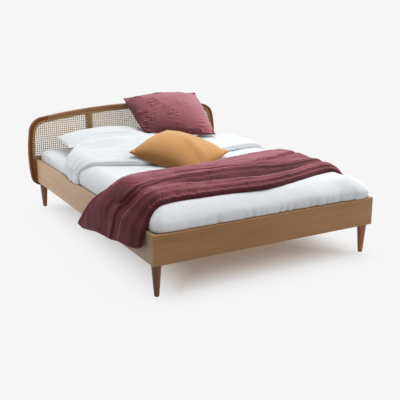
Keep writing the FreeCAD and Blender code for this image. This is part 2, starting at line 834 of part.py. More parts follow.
def make_throw():
    """Sections from the right end, over the bed and down the left side to the hem.

    Round the duvet's shoulders they stand off by what the straight runs between
    them cut off the arc.
    """
    arc_radius = (duvet_edge_radius + throw_clearance) / math.cos(math.radians(throw_arc_step / 2))
    centre_x = duvet_half_width - duvet_edge_radius
    centre_z = duvet_top - duvet_edge_radius
    top = centre_z + arc_radius
    end = math.radians(throw_arc_step)
    wires = [throw_station(centre_x + arc_radius * math.sin(end),
                           centre_z + arc_radius * math.cos(end),
                           throw_arc_step, throw_right_end_shares)]
    for across, head, foot, height in throw_top_station_shares:
        wires.append(throw_station(duvet_half_width * across, top, 0, (head, foot, height)))
    for angle, head, foot, height in throw_shoulder_stations:
        way = math.radians(angle)
        wires.append(throw_station(-centre_x - arc_radius * math.sin(way),
                                   centre_z + arc_radius * math.cos(way),
                                   -angle, (head, foot, height)))
    rail_x = -rail_outer - throw_rail_stand
    wires.append(throw_station(rail_x, rail_top + throw_rail_stand, -throw_rail_angle,
                               throw_rail_top_shares))
    half = bed_length / 2
    left = vec(-1, 0, 0)
    head, foot, height = throw_rail_side_shares
    side_z = rail_top - throw_drop_foot / 2
    wires.append(throw_wire(vec(rail_x, head * half, side_z),
                            vec(rail_x, foot * half, side_z), left, height))
    head, foot, height = throw_hem_shares
    wires.append(throw_wire(
        vec(-rail_outer - throw_hem_stand, head * half, rail_top - throw_drop_head),
        vec(rail_x, foot * half, rail_top - throw_drop_foot), left, height))
    export("throw", Part.makeLoft(wires, True, True))


# Build

stile_half_width = moulding_width + groove_width / 2
rails_by_side = {-1: side_rail(-1), 1: side_rail(1)}
foot_piece = make_foot_board()
panel_piece = make_lower_panel()
rails_by_side, foot_piece, panel_piece = make_corners(rails_by_side, foot_piece, panel_piece)
rails_by_side = make_ledges(rails_by_side)
foot_piece, panel_piece = make_beam(foot_piece, panel_piece)
make_slats()
export("side_rail_left", rails_by_side[-1])
export("side_rail_right", rails_by_side[1])
export("foot_board", foot_piece)
export("headboard_lower_panel", panel_piece)
make_headboard_frame()
make_stiles()
make_openings()
make_mattress()
duvet_fold_top = make_duvet()
make_throw()
make_cushions(duvet_fold_top)
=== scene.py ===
import math
from contextlib import contextmanager
from functools import partial
import bpy
import bmesh
import numpy as np
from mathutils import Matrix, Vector, noise
from mathutils.geometry import convex_hull_2d


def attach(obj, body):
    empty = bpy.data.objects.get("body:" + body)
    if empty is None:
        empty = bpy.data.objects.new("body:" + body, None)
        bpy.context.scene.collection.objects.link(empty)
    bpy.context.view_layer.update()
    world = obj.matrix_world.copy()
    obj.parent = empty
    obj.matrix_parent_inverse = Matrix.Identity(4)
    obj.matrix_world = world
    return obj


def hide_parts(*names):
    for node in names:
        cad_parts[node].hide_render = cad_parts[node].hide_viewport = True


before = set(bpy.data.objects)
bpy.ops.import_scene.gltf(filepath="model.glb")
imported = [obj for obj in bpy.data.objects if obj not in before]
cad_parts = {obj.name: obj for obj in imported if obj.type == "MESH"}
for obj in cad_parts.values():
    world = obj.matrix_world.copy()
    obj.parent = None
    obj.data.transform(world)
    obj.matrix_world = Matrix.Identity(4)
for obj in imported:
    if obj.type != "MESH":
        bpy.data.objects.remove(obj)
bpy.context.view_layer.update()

WHITE = (1, 1, 1, 1)


# Small helpers for shader nodes

def srgb(red, green, blue):
    """A colour as a picture shows it, 0 to 255, as the linear colour that a shader takes."""
    return tuple((c / 255 / 12.92) if c / 255 <= 0.04045 else ((c / 255 + 0.055) / 1.055) ** 2.4
        for c in (red, green, blue)) + (1.0,)


def feed(tree, socket, value):
    """Link a socket to another one, or set it to a value."""
    if isinstance(value, bpy.types.NodeSocket):
        tree.links.new(value, socket)
    else:
        socket.default_value = value


def add(tree, kind, inputs=(), **settings):
    """A shader node with its settings, and its inputs fed by name or number."""
    node = tree.nodes.new("ShaderNode" + kind)
    for key, value in settings.items():
        setattr(node, key, value)
    for socket, value in dict(inputs).items():
        feed(tree, node.inputs[socket], value)
    return node


def maths(tree, operation, *values):
    return add(tree, "Math", enumerate(values), operation=operation).outputs[0]


def vectors(tree, operation, *values):
    """Vector maths: SCALE takes its factor second, LENGTH and DOT_PRODUCT give a number."""
    sockets = (0, 3) if operation == "SCALE" else (0, 1)
    node = add(tree, "VectorMath", zip(sockets, values), operation=operation)
    return node.outputs[1 if operation in ("LENGTH", "DOT_PRODUCT") else 0]


def mix_colour(tree, factor, first, second):
    return add(tree, "Mix", {0: factor, 6: first, 7: second}, data_type="RGBA").outputs[2]


def stretched_noise(tree, vector, stretch, detail, roughness=0.5):
    """Noise over a vector that is first multiplied by stretch."""
    drawn = vectors(tree, "MULTIPLY", vector, stretch)
    return add(tree, "TexNoise", {"Vector": drawn, "Scale": 1.0, "Detail": detail,
        "Roughness": roughness}).outputs[0]


def new_group(name, inputs, outputs):
    """A shader node group with sockets by name and kind: the group, what it takes in and what it puts out."""
    group = bpy.data.node_groups.new(name, "ShaderNodeTree")
    for sockets, way in ((inputs, "INPUT"), (outputs, "OUTPUT")):
        for socket, kind in sockets.items():
            group.interface.new_socket(name=socket, in_out=way, socket_type="NodeSocket" + kind)
    return group, group.nodes.new("NodeGroupInput").outputs, group.nodes.new("NodeGroupOutput").inputs


def new_material(name, values):
    """A material with these shader values: itself, its tree and its shader's inputs."""
    material = bpy.data.materials.new(name)
    material.use_nodes = True
    shader = material.node_tree.nodes["Principled BSDF"].inputs
    for socket, value in values.items():
        shader[socket].default_value = value
    return material, material.node_tree, shader


def cover(tree, shader, colour, roughness, height, distance, strength):
    """Give a shader its colour, its roughness and a relief."""
    relief = add(tree, "Bump", {"Height": height, "Distance": distance, "Strength": strength})
    for socket, value in (("Base Color", colour), ("Roughness", roughness), ("Normal", relief.outputs[0])):
        feed(tree, shader[socket], value)


# Wood: stretched grain, figure and pores, shared by all the wooden finishes

def wood_grain_group():
    group, start, end = new_group("wood grain", {"Vector": "Vector", "Light": "Color", "Dark": "Color",
        "Figure Size": "Float", "Figure": "Float", "Pores": "Float"},
        {"Colour": "Color", "Roughness": "Float", "Height": "Float"})
    do = partial(maths, group)
    sized = vectors(group, "SCALE", vectors(group, "MULTIPLY", start["Vector"], (1.0, 9.0, 9.0)),
        start["Figure Size"])
    broad = add(group, "TexNoise", {"Vector": sized, "Scale": 1.3, "Detail": 3.0,
        "Roughness": 0.55}).outputs[0]
    figure = add(group, "TexWave", {"Vector": sized, "Scale": 1.7, "Distortion": 5.5, "Detail": 3.0,
        "Detail Scale": 0.7, "Detail Roughness": 0.55}, wave_type="BANDS", bands_direction="Z",
        wave_profile="SAW")
    streaks = stretched_noise(group, start["Vector"], (6.0, 260.0, 260.0), 4.0, 0.7)
    pores = stretched_noise(group, start["Vector"], (45.0, 1500.0, 1500.0), 1.0)
    pores = add(group, "MapRange", {"Value": pores, "From Min": 0.58, "From Max": 0.72}).outputs[0]
    pores = do("MULTIPLY", pores, start["Pores"])
    tone = do("MULTIPLY", figure.outputs["Fac"], start["Figure"])
    for layer, middle, share in ((streaks, 0.5, 0.9), (broad, 0.5, 1.1), (pores, 0.0, 0.5)):
        tone = do("ADD", tone, do("MULTIPLY", do("SUBTRACT", layer, middle), share))
    tone = add(group, "Clamp", {"Value": tone}).outputs[0]
    feed(group, end["Colour"], mix_colour(group, tone, start["Light"], start["Dark"]))
    feed(group, end["Roughness"], do("MULTIPLY_ADD", tone, 0.16, 0.42))
    feed(group, end["Height"], do("SUBTRACT", do("MULTIPLY", streaks, 0.5), pores))
    return group


WOOD_GRAIN = wood_grain_group()

# the rotation that lays the grain along each axis
ALONG_X = (0, 0, 0)
ALONG_Y = (0, 0, math.radians(-90))
ALONG_Z = (0, math.radians(90), 0)
MATT = 0.12
MOULDING_BEADS = {"Scale": 78.0, "Color1": WHITE, "Color2": (0.5, 0.46, 0.41, 1)}


def wood(name, light, dark, turn, figure_size, figure, bump=0.0004, coat=0.0, gloss=0.3, painted_foot_lightness=1.0,
        beads=None):
    """A wooden finish; with a lightness below 1 at the foot of the bed it darkens toward the foot as painted
    shade, and beads give it dark squares.
    """
    material, tree, shader = new_material(name, {"Specular IOR Level": gloss, "Coat Weight": coat,
        "Coat Roughness": 0.35})
    place = add(tree, "TexCoord").outputs["Object"]
    grain = add(tree, "Group",
        {"Vector": add(tree, "Mapping", {"Vector": place, "Rotation": turn}).outputs[0],
        "Light": srgb(*light), "Dark": srgb(*dark), "Figure Size": figure_size, "Figure": figure,
        "Pores": 0.5}, node_tree=WOOD_GRAIN).outputs
    # painted shade: the finish grows darker from the head toward the foot of the bed
    along = add(tree, "SeparateXYZ", {0: place}).outputs[1]
    level = add(tree, "MapRange", {"Value": along, "From Min": -0.97, "From Max": -0.15, "To Min": painted_foot_lightness,
        "To Max": 1.0}).outputs[0]
    colour = vectors(tree, "SCALE", grain["Colour"], level)
    if beads:
        colour = vectors(tree, "MULTIPLY", colour,
            add(tree, "TexChecker", {"Vector": place, **beads}).outputs[0])
    cover(tree, shader, colour, grain["Roughness"], grain["Height"], bump, 0.6)
    return material


def plain(name, colour, roughness, metallic, grain, contrast, bump):
    """A finish with fine mottling: steel, felt or webbing."""
    material, tree, shader = new_material(name, {"Metallic": metallic})
    mottle = add(tree, "TexNoise", {"Vector": add(tree, "TexCoord").outputs["Object"], "Scale": grain,
        "Detail": 3.0}).outputs[0]
    colour = srgb(*colour)
    darker = tuple(c * (1 - contrast) for c in colour[:3]) + (1.0,)
    cover(tree, shader, mix_colour(tree, mottle, colour, darker), roughness, mottle, bump, 0.5)
    return material


# Finishes of the rigid CAD pieces, which are found by how their names start

def paint(material, *pieces):
    for piece in pieces:
        piece.data.materials.clear()
        piece.data.materials.append(material)


def cad_pieces(*starts):
    return [piece for name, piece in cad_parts.items() if name.startswith(starts)]


for make, values, more, starts in (
        # the side rails' oak darkens toward the foot as painted shade
        (wood, ("light oak side rail", (190, 158, 126), (154, 119, 88), ALONG_Y, 1.2, 0.35),
         {"painted_foot_lightness": 0.68}, ("side_rail_",)),
        # the foot board has the side rails' oak, given darker colours as painted shade on its front face
        (wood, ("brown oak foot board", (160, 119, 80), (127, 90, 57), ALONG_X, 1.2, 0.4), {},
         ("foot_board",)),
        (wood, ("walnut leg", (120, 73, 46), (82, 46, 28), ALONG_Z, 2.0, 0.35), {"coat": 0.15},
         ("leg_foot_", "leg_head_", "centre_leg")),
        (wood, ("planed pine", (214, 184, 143), (188, 150, 106), ALONG_X, 1.0, 0.45), {},
         ("slats", "corner_block_")),
        (wood, ("planed pine, long", (214, 184, 143), (188, 150, 106), ALONG_Y, 1.0, 0.45), {},
         ("slat_ledge_", "centre_beam")),
        (wood, ("headboard frame, level", (166, 122, 88), (126, 86, 58), ALONG_X, 1.6, 0.3), {"gloss": MATT},
         ("headboard_top_rail", "headboard_bottom_rail")),
        (wood, ("headboard frame, upright", (132, 81, 50), (96, 56, 32), ALONG_Z, 1.6, 0.3), {"gloss": MATT},
         ("headboard_side_",)),
        (wood, ("headboard panel", (140, 96, 66), (104, 66, 44), ALONG_X, 1.2, 0.4), {},
         ("headboard_lower_panel", "back_bead_")),
        (wood, ("headboard stile", (176, 142, 104), (138, 106, 74), ALONG_Z, 1.2, 0.4), {}, ("stile_",)),
        (wood, ("golden moulding", (208, 169, 121), (172, 133, 90), ALONG_X, 2.4, 0.3),
         {"gloss": MATT, "beads": MOULDING_BEADS}, ("moulding_",)),
        (plain, ("zinc plated steel", (176, 178, 182), 0.38, 1.0, 900.0, 0.2, 0.0002), {},
         ("beam_bracket_", "block_screws", "bracket_screws", "ledge_screws", "headboard_bolts",
         "headboard_inserts", "leg_studs", "leg_inserts")),
        (plain, ("pressed felt", (70, 64, 60), 0.95, 0.0, 1200.0, 0.4, 0.0006), {}, ("glide_",)),
        (plain, ("slat webbing", (222, 218, 208), 0.85, 0.0, 700.0, 0.25, 0.0005), {}, ("slat_strap_",))):
    paint(make(*values, **more), *cad_pieces(*starts))


# Meshes: shared ways of making them

@contextmanager
def edited(piece):
    """A piece's mesh, open for bmesh, and written back at the end."""
    mesh = bmesh.new()
    mesh.from_mesh(piece.data)
    yield mesh
    mesh.to_mesh(piece.data)
    mesh.free()


def finish_mesh(piece, smooth=True):
    """Faces outward, shading smooth or flat."""
    with edited(piece) as mesh:
        bmesh.ops.recalc_face_normals(mesh, faces=mesh.faces)
        for face in mesh.faces:
            face.smooth = smooth


def new_object(name, data):
    made = bpy.data.objects.new(name, data)
    bpy.context.scene.collection.objects.link(made)
    return made


def with_modifier(piece, kind, **settings):
    """A new modifier of a piece, which is made active and selected alone so that it can be applied."""
    bpy.ops.object.select_all(action="DESELECT")
    bpy.context.view_layer.objects.active = piece
    piece.select_set(True)
    modifier = piece.modifiers.new(kind.lower(), kind)
    for key, value in settings.items():
        setattr(modifier, key, value)
    return modifier


def vertex_values(piece, what):
    values = np.empty(len(piece.data.vertices) * 3)
    piece.data.vertices.foreach_get(what, values)
    return values.reshape(-1, 3)


def set_points(piece, points):
    piece.data.vertices.foreach_set("co", np.asarray(points, float).ravel())
    piece.data.update()


# Lines, unevenness and steps

def smooth_line(*stops):
    """A smooth curve through (place, value) stops, without overshoot, as a function of place."""
    at = np.array([stop[0] for stop in stops], float)
    values = np.array([stop[1] for stop in stops], float)
    steps = np.diff(values) / np.diff(at)
    slopes = np.zeros(len(at))
    same = steps[:-1] * steps[1:] > 0
    slopes[1:-1][same] = 2 * steps[:-1][same] * steps[1:][same] / (steps[:-1] + steps[1:])[same]
    slopes[0], slopes[-1] = steps[0], steps[-1]

    def value(place):
        place = np.clip(place, at[0], at[-1])
        left = np.clip(np.searchsorted(at, place) - 1, 0, len(at) - 2)
        span = at[left + 1] - at[left]
        t = (place - at[left]) / span
        return ((2 * t ** 3 - 3 * t ** 2 + 1) * values[left] + (t ** 3 - 2 * t ** 2 + t) * span
            * slopes[left] + (3 * t ** 2 - 2 * t ** 3) * values[left + 1] + (t ** 3 - t ** 2) * span
            * slopes[left + 1])
    return value


def rumple(points, size, seed, octaves=2):
    """Soft unevenness, about -1 to 1, at each of these points; size is one swell's length."""
    flat = np.asarray(points, float).reshape(-1, 3) / size + np.array((seed * 7.31, seed * 3.17, seed * 5.77))
    field = [noise.fractal(Vector(p), 1.0, 2.0, octaves) for p in flat]
    return np.array(field).reshape(np.asarray(points).shape[:-1])


def step_up(low, high, value):
    """From 0 at low to 1 at high, smoothly."""
    t = np.clip((value - low) / (high - low), 0, 1)
    return t * t * (3 - 2 * t)


def places(start, *stretches):
    """Places along a line, in even stretches that each end at (place, number of places from the last end)."""
    line = [start]
    for end, count in stretches:
        line = np.concatenate([line[:-1], np.linspace(line[-1], end, count)])
    return line


def crowded(count, share=0.3):
    """Places from 0 to 1 that crowd toward both ends."""
    return share * (1 - np.cos(np.linspace(0, math.pi, count))) / 2 + (1 - share) * np.linspace(0, 1, count)


def over_plan(across, along):
    """Points on the flat, for unevenness that is to follow a cloth and not its folds."""
    return np.stack([across, along, 0 * along], -1)


def cloth_shell(name, outer, inner, cut):
    """A closed shell from two grids of points; cut holds each point's place on the flat cloth."""
    rows, columns = outer.shape[:2]
    count = rows * columns
    index = np.arange(count).reshape(rows, columns)
    quads = np.stack([index[:-1, :-1], index[1:, :-1], index[1:, 1:], index[:-1, 1:]], -1).reshape(-1, 4)
    faces = np.concatenate([quads, quads[:, ::-1] + count]).tolist()
    rim = np.concatenate([index[0, :-1], index[:-1, -1], index[-1, :0:-1], index[:0:-1, 0]])
    for start, end in zip(rim, np.roll(rim, -1)):
        faces.append([int(end), int(start), int(start) + count, int(end) + count])
    mesh = bpy.data.meshes.new(name)
    mesh.from_pydata(np.concatenate([outer.reshape(-1, 3), inner.reshape(-1, 3)]).tolist(), [], faces)
    layer = mesh.uv_layers.new(name="cloth")
    flat = np.concatenate([cut.reshape(-1, 2)] * 2)
    loops = np.empty(len(mesh.loops), int)
    mesh.loops.foreach_get("vertex_index", loops)
    layer.data.foreach_set("uv", flat[loops].astype(np.float32).ravel())
    piece = new_object(name, mesh)
    finish_mesh(piece)
    return piece


def shade(piece, toward, level, gain, more=0, part=1):
    """Painted light as the cloth's tone, point by point: a painted highlight where it faces toward, painted
    shade where it turns away and in its hollows.
    """
    tone = np.clip((vertex_values(piece, "normal") @ np.array(toward) - level) * gain * part + more, -1, 1)
    piece.data.attributes.new("tone", "FLOAT", "POINT").data.foreach_set("value", tone.astype(np.float32))


def around_block(across, along, half, foot, head, top, edge, height, under, squareness):
    """A flat cloth laid over a block with rounded edges: points, outward directions and turn.

    The turn goes from 0 on top to 1 where the cloth hangs straight down, and to 2
    where it has gone round the lower edge.
    """
    centre_x = np.clip(across, -half + edge, half - edge)
    centre_y = np.clip(along, foot + edge, head - edge)
    past_x, past_y = across - centre_x, along - centre_y
    past = np.maximum(np.abs(past_x), np.abs(past_y))
    length = (np.abs(past_x) ** squareness + np.abs(past_y) ** squareness) ** (1 / squareness)
    length = np.where(length > 0, length, 1)
    quarter = edge * math.pi / 2
    straight = height - (2 * edge if under else edge)
    second = np.clip(past - quarter - straight, 0, quarter) if under else 0 * past
    turn = np.clip(past, 0, quarter) / quarter + second / quarter
    angle = turn * math.pi / 2
    inward = np.clip(past - 2 * quarter - straight, 0, None) if under else 0 * past
    drop = np.clip(past - quarter, 0, straight if under else None)
    out = edge * np.sin(angle) - inward
    down = edge * (1 - np.cos(np.minimum(angle, math.pi / 2))) + drop
    down -= edge * np.cos(np.maximum(angle, math.pi / 2))
    way_x, way_y = past_x / length, past_y / length
    points = np.stack([centre_x + way_x * out, centre_y + way_y * out, top - down], -1)
    plan = np.maximum(np.hypot(way_x, way_y), 1e-9)
    normals = np.stack([np.sin(angle) * way_x / plan, np.sin(angle) * way_y / plan, np.cos(angle)], -1)
    return points, normals, turn


# Cane webbing: pairs of upright and level strands with a strand each way across the corners

CANE_PITCH = 0.015
CANE_FACE = 0.9915
PAIR_OFFSET = 0.00135
# how far the diagonals lie before and behind the pairs, and the shortest edge of an outline that cuts
DIAGONAL_OFFSET = 0.0008
SHORTEST_CUT = 0.0015
# width, thickness and rise of a strand
STRAND = (0.002, 0.0005, 0.00035)
THIN_STRAND = (0.0014, 0.0004, 0.0002)


def cane_row(turn, unit, length, count, spacing, shape, face, shift, first):
    """Points and faces of strands side by side: along X, turned about Y, weaving once in each unit."""
    width, thick, rise = shape
    rings = 4 * math.ceil(length / unit) + 1
    ring = np.arange(rings)[:, None]
    corners = np.array([(-1, -1), (1, -1), (1, 1), (-1, 1)]) / 2
    x = (ring - 2) * unit / 4 + shift - length / 2 + 0 * corners[:, 0]
    y = rise * np.array((1, 0, -1, 0))[ring % 4] + corners[:, 0] * thick
    z = corners[:, 1] * width + 0 * ring
    c, s = math.cos(turn), math.sin(turn)
    strand = np.stack([x * c + z * s + first[0], y + face, z * c - x * s + first[1]], -1).reshape(-1, 3)
    copy = np.arange(count)[:, None, None]
    corner = (ring[:-1] * 4 + np.arange(4)).ravel()
    beside = corner - corner % 4 + (corner + 1) % 4
    quads = np.stack([corner, corner + 4, beside + 4, beside], -1) + copy * len(strand)
    return (strand + copy * np.array((spacing[0], 0, spacing[1]))).reshape(-1, 3), quads.reshape(-1, 4)


def make_cane(side):
    """One opening's webbing, cut to the outline of the CAD piece that it stands for."""
    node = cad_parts["cane_" + side]
    spots = sorted({(round(v.co.x, 5), round(v.co.z, 5)) for v in node.data.vertices})
    hull = [spots[i] for i in convex_hull_2d([Vector(spot) for spot in spots])]
    (left, low), (right, high) = np.min(hull, 0), np.max(hull, 0)
    middle_x = 0.0 if side == "centre" else (left + right) / 2
    columns = int((right - left) / CANE_PITCH) + 4
    rows = int((high - low) / CANE_PITCH) + 4
    first_x = middle_x - (columns // 2) * CANE_PITCH
    first_z = low - CANE_PITCH
    middle_z = first_z + rows * CANE_PITCH / 2
    two = 2 * CANE_PITCH
    strands = []
    for pair in (-PAIR_OFFSET, PAIR_OFFSET):
        for shift in (0, CANE_PITCH):
            strands.append(cane_row(math.pi / 2, two, rows * CANE_PITCH + 0.06, columns // 2 + 1, (two, 0),
                STRAND, CANE_FACE, shift, (first_x + shift + pair, middle_z)))
            strands.append(cane_row(0, two, columns * CANE_PITCH + 0.06, rows // 2 + 1, (0, two), STRAND,
                CANE_FACE, shift, (middle_x, first_z + shift + pair)))
    lean = CANE_PITCH * math.sqrt(2)
    diagonal_x = first_x - rows * CANE_PITCH / 2 + (0.5 * CANE_PITCH if rows % 2 else 0.0)
    for turn, offset in ((math.radians(45), -DIAGONAL_OFFSET), (math.radians(-45), DIAGONAL_OFFSET)):
        strands.append(cane_row(turn, 2 * lean, rows * lean + 0.05, columns + rows, (CANE_PITCH, 0),
            THIN_STRAND, CANE_FACE + offset, 0.0, (diagonal_x, middle_z)))
    starts = np.cumsum([0] + [len(points) for points, _ in strands])
    data = bpy.data.meshes.new("cane_webbing_" + side)
    data.from_pydata(np.concatenate([points for points, _ in strands]).tolist(), [],
        np.concatenate([faces + start for (_, faces), start in zip(strands, starts)]).tolist())
    cane = new_object(data.name, data)
    centre = Vector((middle_x, 0, (low + high) / 2))
    with edited(cane) as mesh:
        for start, end in zip(hull, hull[1:] + hull[:1]):
            along = Vector((end[0] - start[0], 0, end[1] - start[1]))
            if along.length < SHORTEST_CUT:
                continue
            out = Vector((along.z, 0, -along.x)).normalized()
            on = Vector((start[0], 0, start[1]))
            if (centre - on).dot(out) > 0:
                out.negate()
            bmesh.ops.bisect_plane(mesh, geom=mesh.verts[:] + mesh.edges[:] + mesh.faces[:], plane_co=on,
                plane_no=out, clear_outer=True)
        bmesh.ops.holes_fill(mesh, edges=[edge for edge in mesh.edges if edge.is_boundary], sides=8)
    finish_mesh(cane, smooth=False)
    return cane


# Mattress and fitted sheet

MATTRESS_SIZE, MATTRESS_CENTRE, MATTRESS_EDGE = (1.376, 1.897, 0.1674), (0, 0.0125, 0.3363), 0.074
SHEET_HALF, SHEET_FOOT, SHEET_HEAD, SHEET_TOP = 0.6903, -0.9383, 0.9633, 0.4223
SHEET_EDGE, SHEET_HEIGHT, SHEET_UNDER, SHEET_THICK = 0.077, 0.172, 0.043, 0.0017
SQUARE_CORNERS = 5.0


def make_mattress_ticking():
    bpy.ops.mesh.primitive_cube_add(size=1, location=MATTRESS_CENTRE)
    piece = bpy.context.object
    piece.name = "mattress_ticking"
    piece.scale = MATTRESS_SIZE
    bpy.ops.object.transform_apply(location=True, rotation=True, scale=True)
    rounded = with_modifier(piece, "BEVEL", width=MATTRESS_EDGE, segments=7, limit_method="ANGLE")
    bpy.ops.object.modifier_apply(modifier=rounded.name)
    finish_mesh(piece)
    return piece


def make_fitted_sheet():
    reach = SHEET_EDGE * math.pi + (SHEET_HEIGHT - 2 * SHEET_EDGE) + SHEET_UNDER
    flat, foot, head = SHEET_HALF - SHEET_EDGE, SHEET_FOOT + SHEET_EDGE, SHEET_HEAD - SHEET_EDGE
    side = places(-flat - reach, (-flat, 44), (flat, 60), (flat + reach, 44))
    length = places(foot - reach, (foot, 44), (head, 90), (head + reach, 44))
    along, across = np.meshgrid(length, side, indexing="ij")
    points, normals, turn = around_block(across, along, SHEET_HALF, SHEET_FOOT, SHEET_HEAD, SHEET_TOP,
        SHEET_EDGE, SHEET_HEIGHT, under=True, squareness=SQUARE_CORNERS)
    lift = rumple(over_plan(across, along), 0.16, 3.0) * 0.0012
    # the corners at the head are stuffed fuller than the edges under the duvet
    full = (step_up(0.62, 0.8, points[..., 1]) * step_up(0.52, 0.64, np.abs(points[..., 0]))
        * step_up(0.26, 0.38, points[..., 2]))
    points[..., 0] = np.clip(points[..., 0] * (1 + 0.036 * full), -SHEET_HALF, SHEET_HALF)
    points[..., 1] = np.minimum(points[..., 1] + 0.016 * full, SHEET_HEAD)
    outer = points + normals * (lift * np.clip(turn, 0.2, 1) * (turn < 1.9))[..., None]
    piece = cloth_shell("sheet_fitted", outer, outer - normals * SHEET_THICK, np.stack([across, along], -1))
    return piece


# Duvet: its body over the bed, and the part that is turned back at the head

BODY_HALF, BODY_FOOT, BODY_HEAD, BODY_TOP, BODY_EDGE = 0.697, -0.947, 0.5, 0.4676, 0.113
# where its flat top ends at the sides, how far the cloth goes on from there, and its taper at the head
BODY_FLAT = BODY_HALF - BODY_EDGE
BODY_REACH = BODY_EDGE * math.pi / 2 + 0.003
BODY_TAPER = 0.045
# the block that the duvet lies on goes on past the bed, so it is not rounded at the head
PAST_THE_BED = 9.0
PILLOW_PLACE = (-0.255, 0.7575, 0.497)
PILLOW_HALF_WIDTH, PILLOW_HALF_DEPTH, PILLOW_CROWN = 0.35, 0.1975, 0.105


def over_body(across, along):
    """The duvet's body: its points, their directions, and how deep the sheet lies under them."""
    points, normals, turn = around_block(across, along, BODY_HALF, BODY_FOOT, PAST_THE_BED, BODY_TOP,
        BODY_EDGE, BODY_EDGE + 0.004, under=False, squareness=SQUARE_CORNERS)
    depth = 0.0453 - 0.0386 * np.clip(turn, 0, 1)
    return points, normals, turn, depth


def make_duvet_body():
    side = places(-BODY_FLAT - BODY_REACH, (-BODY_FLAT, 32), (BODY_FLAT, 110), (BODY_FLAT + BODY_REACH, 32))
    foot = BODY_FOOT + BODY_EDGE
    length = places(foot - BODY_REACH, (foot, 34), (BODY_HEAD - BODY_TAPER, 110), (BODY_HEAD, 12))
    along, across = np.meshgrid(length, side, indexing="ij")
    points, normals, turn, depth = over_body(across, along)
    plan = over_plan(across, along)
    swell = rumple(plan, 0.3, 1.0) * 0.0055 + rumple(plan, 0.09, 2.0) * 0.0018
    # short puckers just above the foot board, where the duvet is tucked in
    place = across + 0.02 * rumple(plan, 0.2, 5.0)
    pucker = np.maximum(rumple(over_plan(place, 0 * along), 0.035, 8.0, 1), 0) ** 1.5
    tucked = step_up(0.66, 0.98, turn)
    swell = swell * (1 - tucked) - tucked * 0.002 - pucker * tucked * 0.024 * (along < foot)
    outer = points + normals * swell[..., None]
    # it puffs out over the foot board, most of all at the right corner
    level = normals[..., :2] / np.maximum(np.linalg.norm(normals[..., :2], axis=-1), 1e-6)[..., None]
    corner = step_up(0.5, 0.66, across) * step_up(-0.78, -0.9, along)
    outer += normals * (0.014 * np.sin(math.pi * np.clip(turn, 0, 1)) * step_up(0.46, 0.62, across)
        * step_up(-0.77, -0.87, along))[..., None]
    puff = step_up(0.35, 0.85, turn) * (0.017 * np.clip(-level[..., 1], 0, 1) * (1 - corner) + 0.032 * corner)
    outer[..., :2] += level * puff[..., None]
    inner = points - normals * (depth - 0.001)[..., None]
    tapered = ((along - BODY_HEAD + BODY_TAPER) / BODY_TAPER).clip(0, 1)
    closing = np.sqrt(np.clip(1 - tapered ** 2, 0, 1))[..., None]
    outer = inner + (outer - inner) * np.maximum(closing, 0.02)
    return cloth_shell("duvet_body", outer, inner, np.stack([across, along], -1))


def pillow_top(x, y):
    """Height of the pillow's upper side, or far below where there is none."""
    u, v = (x - PILLOW_PLACE[0]) / PILLOW_HALF_WIDTH, (y - PILLOW_PLACE[1]) / PILLOW_HALF_DEPTH
    rise = np.sqrt(np.clip(1 - u ** 2, 0, 1) * np.clip(1 - v ** 2, 0, 1))
    return np.where((np.abs(u) < 1) & (np.abs(v) < 1), PILLOW_PLACE[2] + PILLOW_CROWN * rise, 0.0)


def ridged(place, stops):
    """Height across folds, through (place, height) stops: level at each one and round at both ends."""
    height = stops[0][1] + 0 * place
    for number, (start, end) in enumerate(zip(stops[:-1], stops[1:])):
        t = np.clip((place - start[0]) / (end[0] - start[0]), 0, 1)
        if number == 0:
            t = np.sqrt(1 - (1 - t) ** 2)
        elif number == len(stops) - 2:
            t = 1 - np.sqrt(1 - t ** 2)
        else:
            t = t * t * (3 - 2 * t)
        height = height + (end[1] - start[1]) * t
    return height


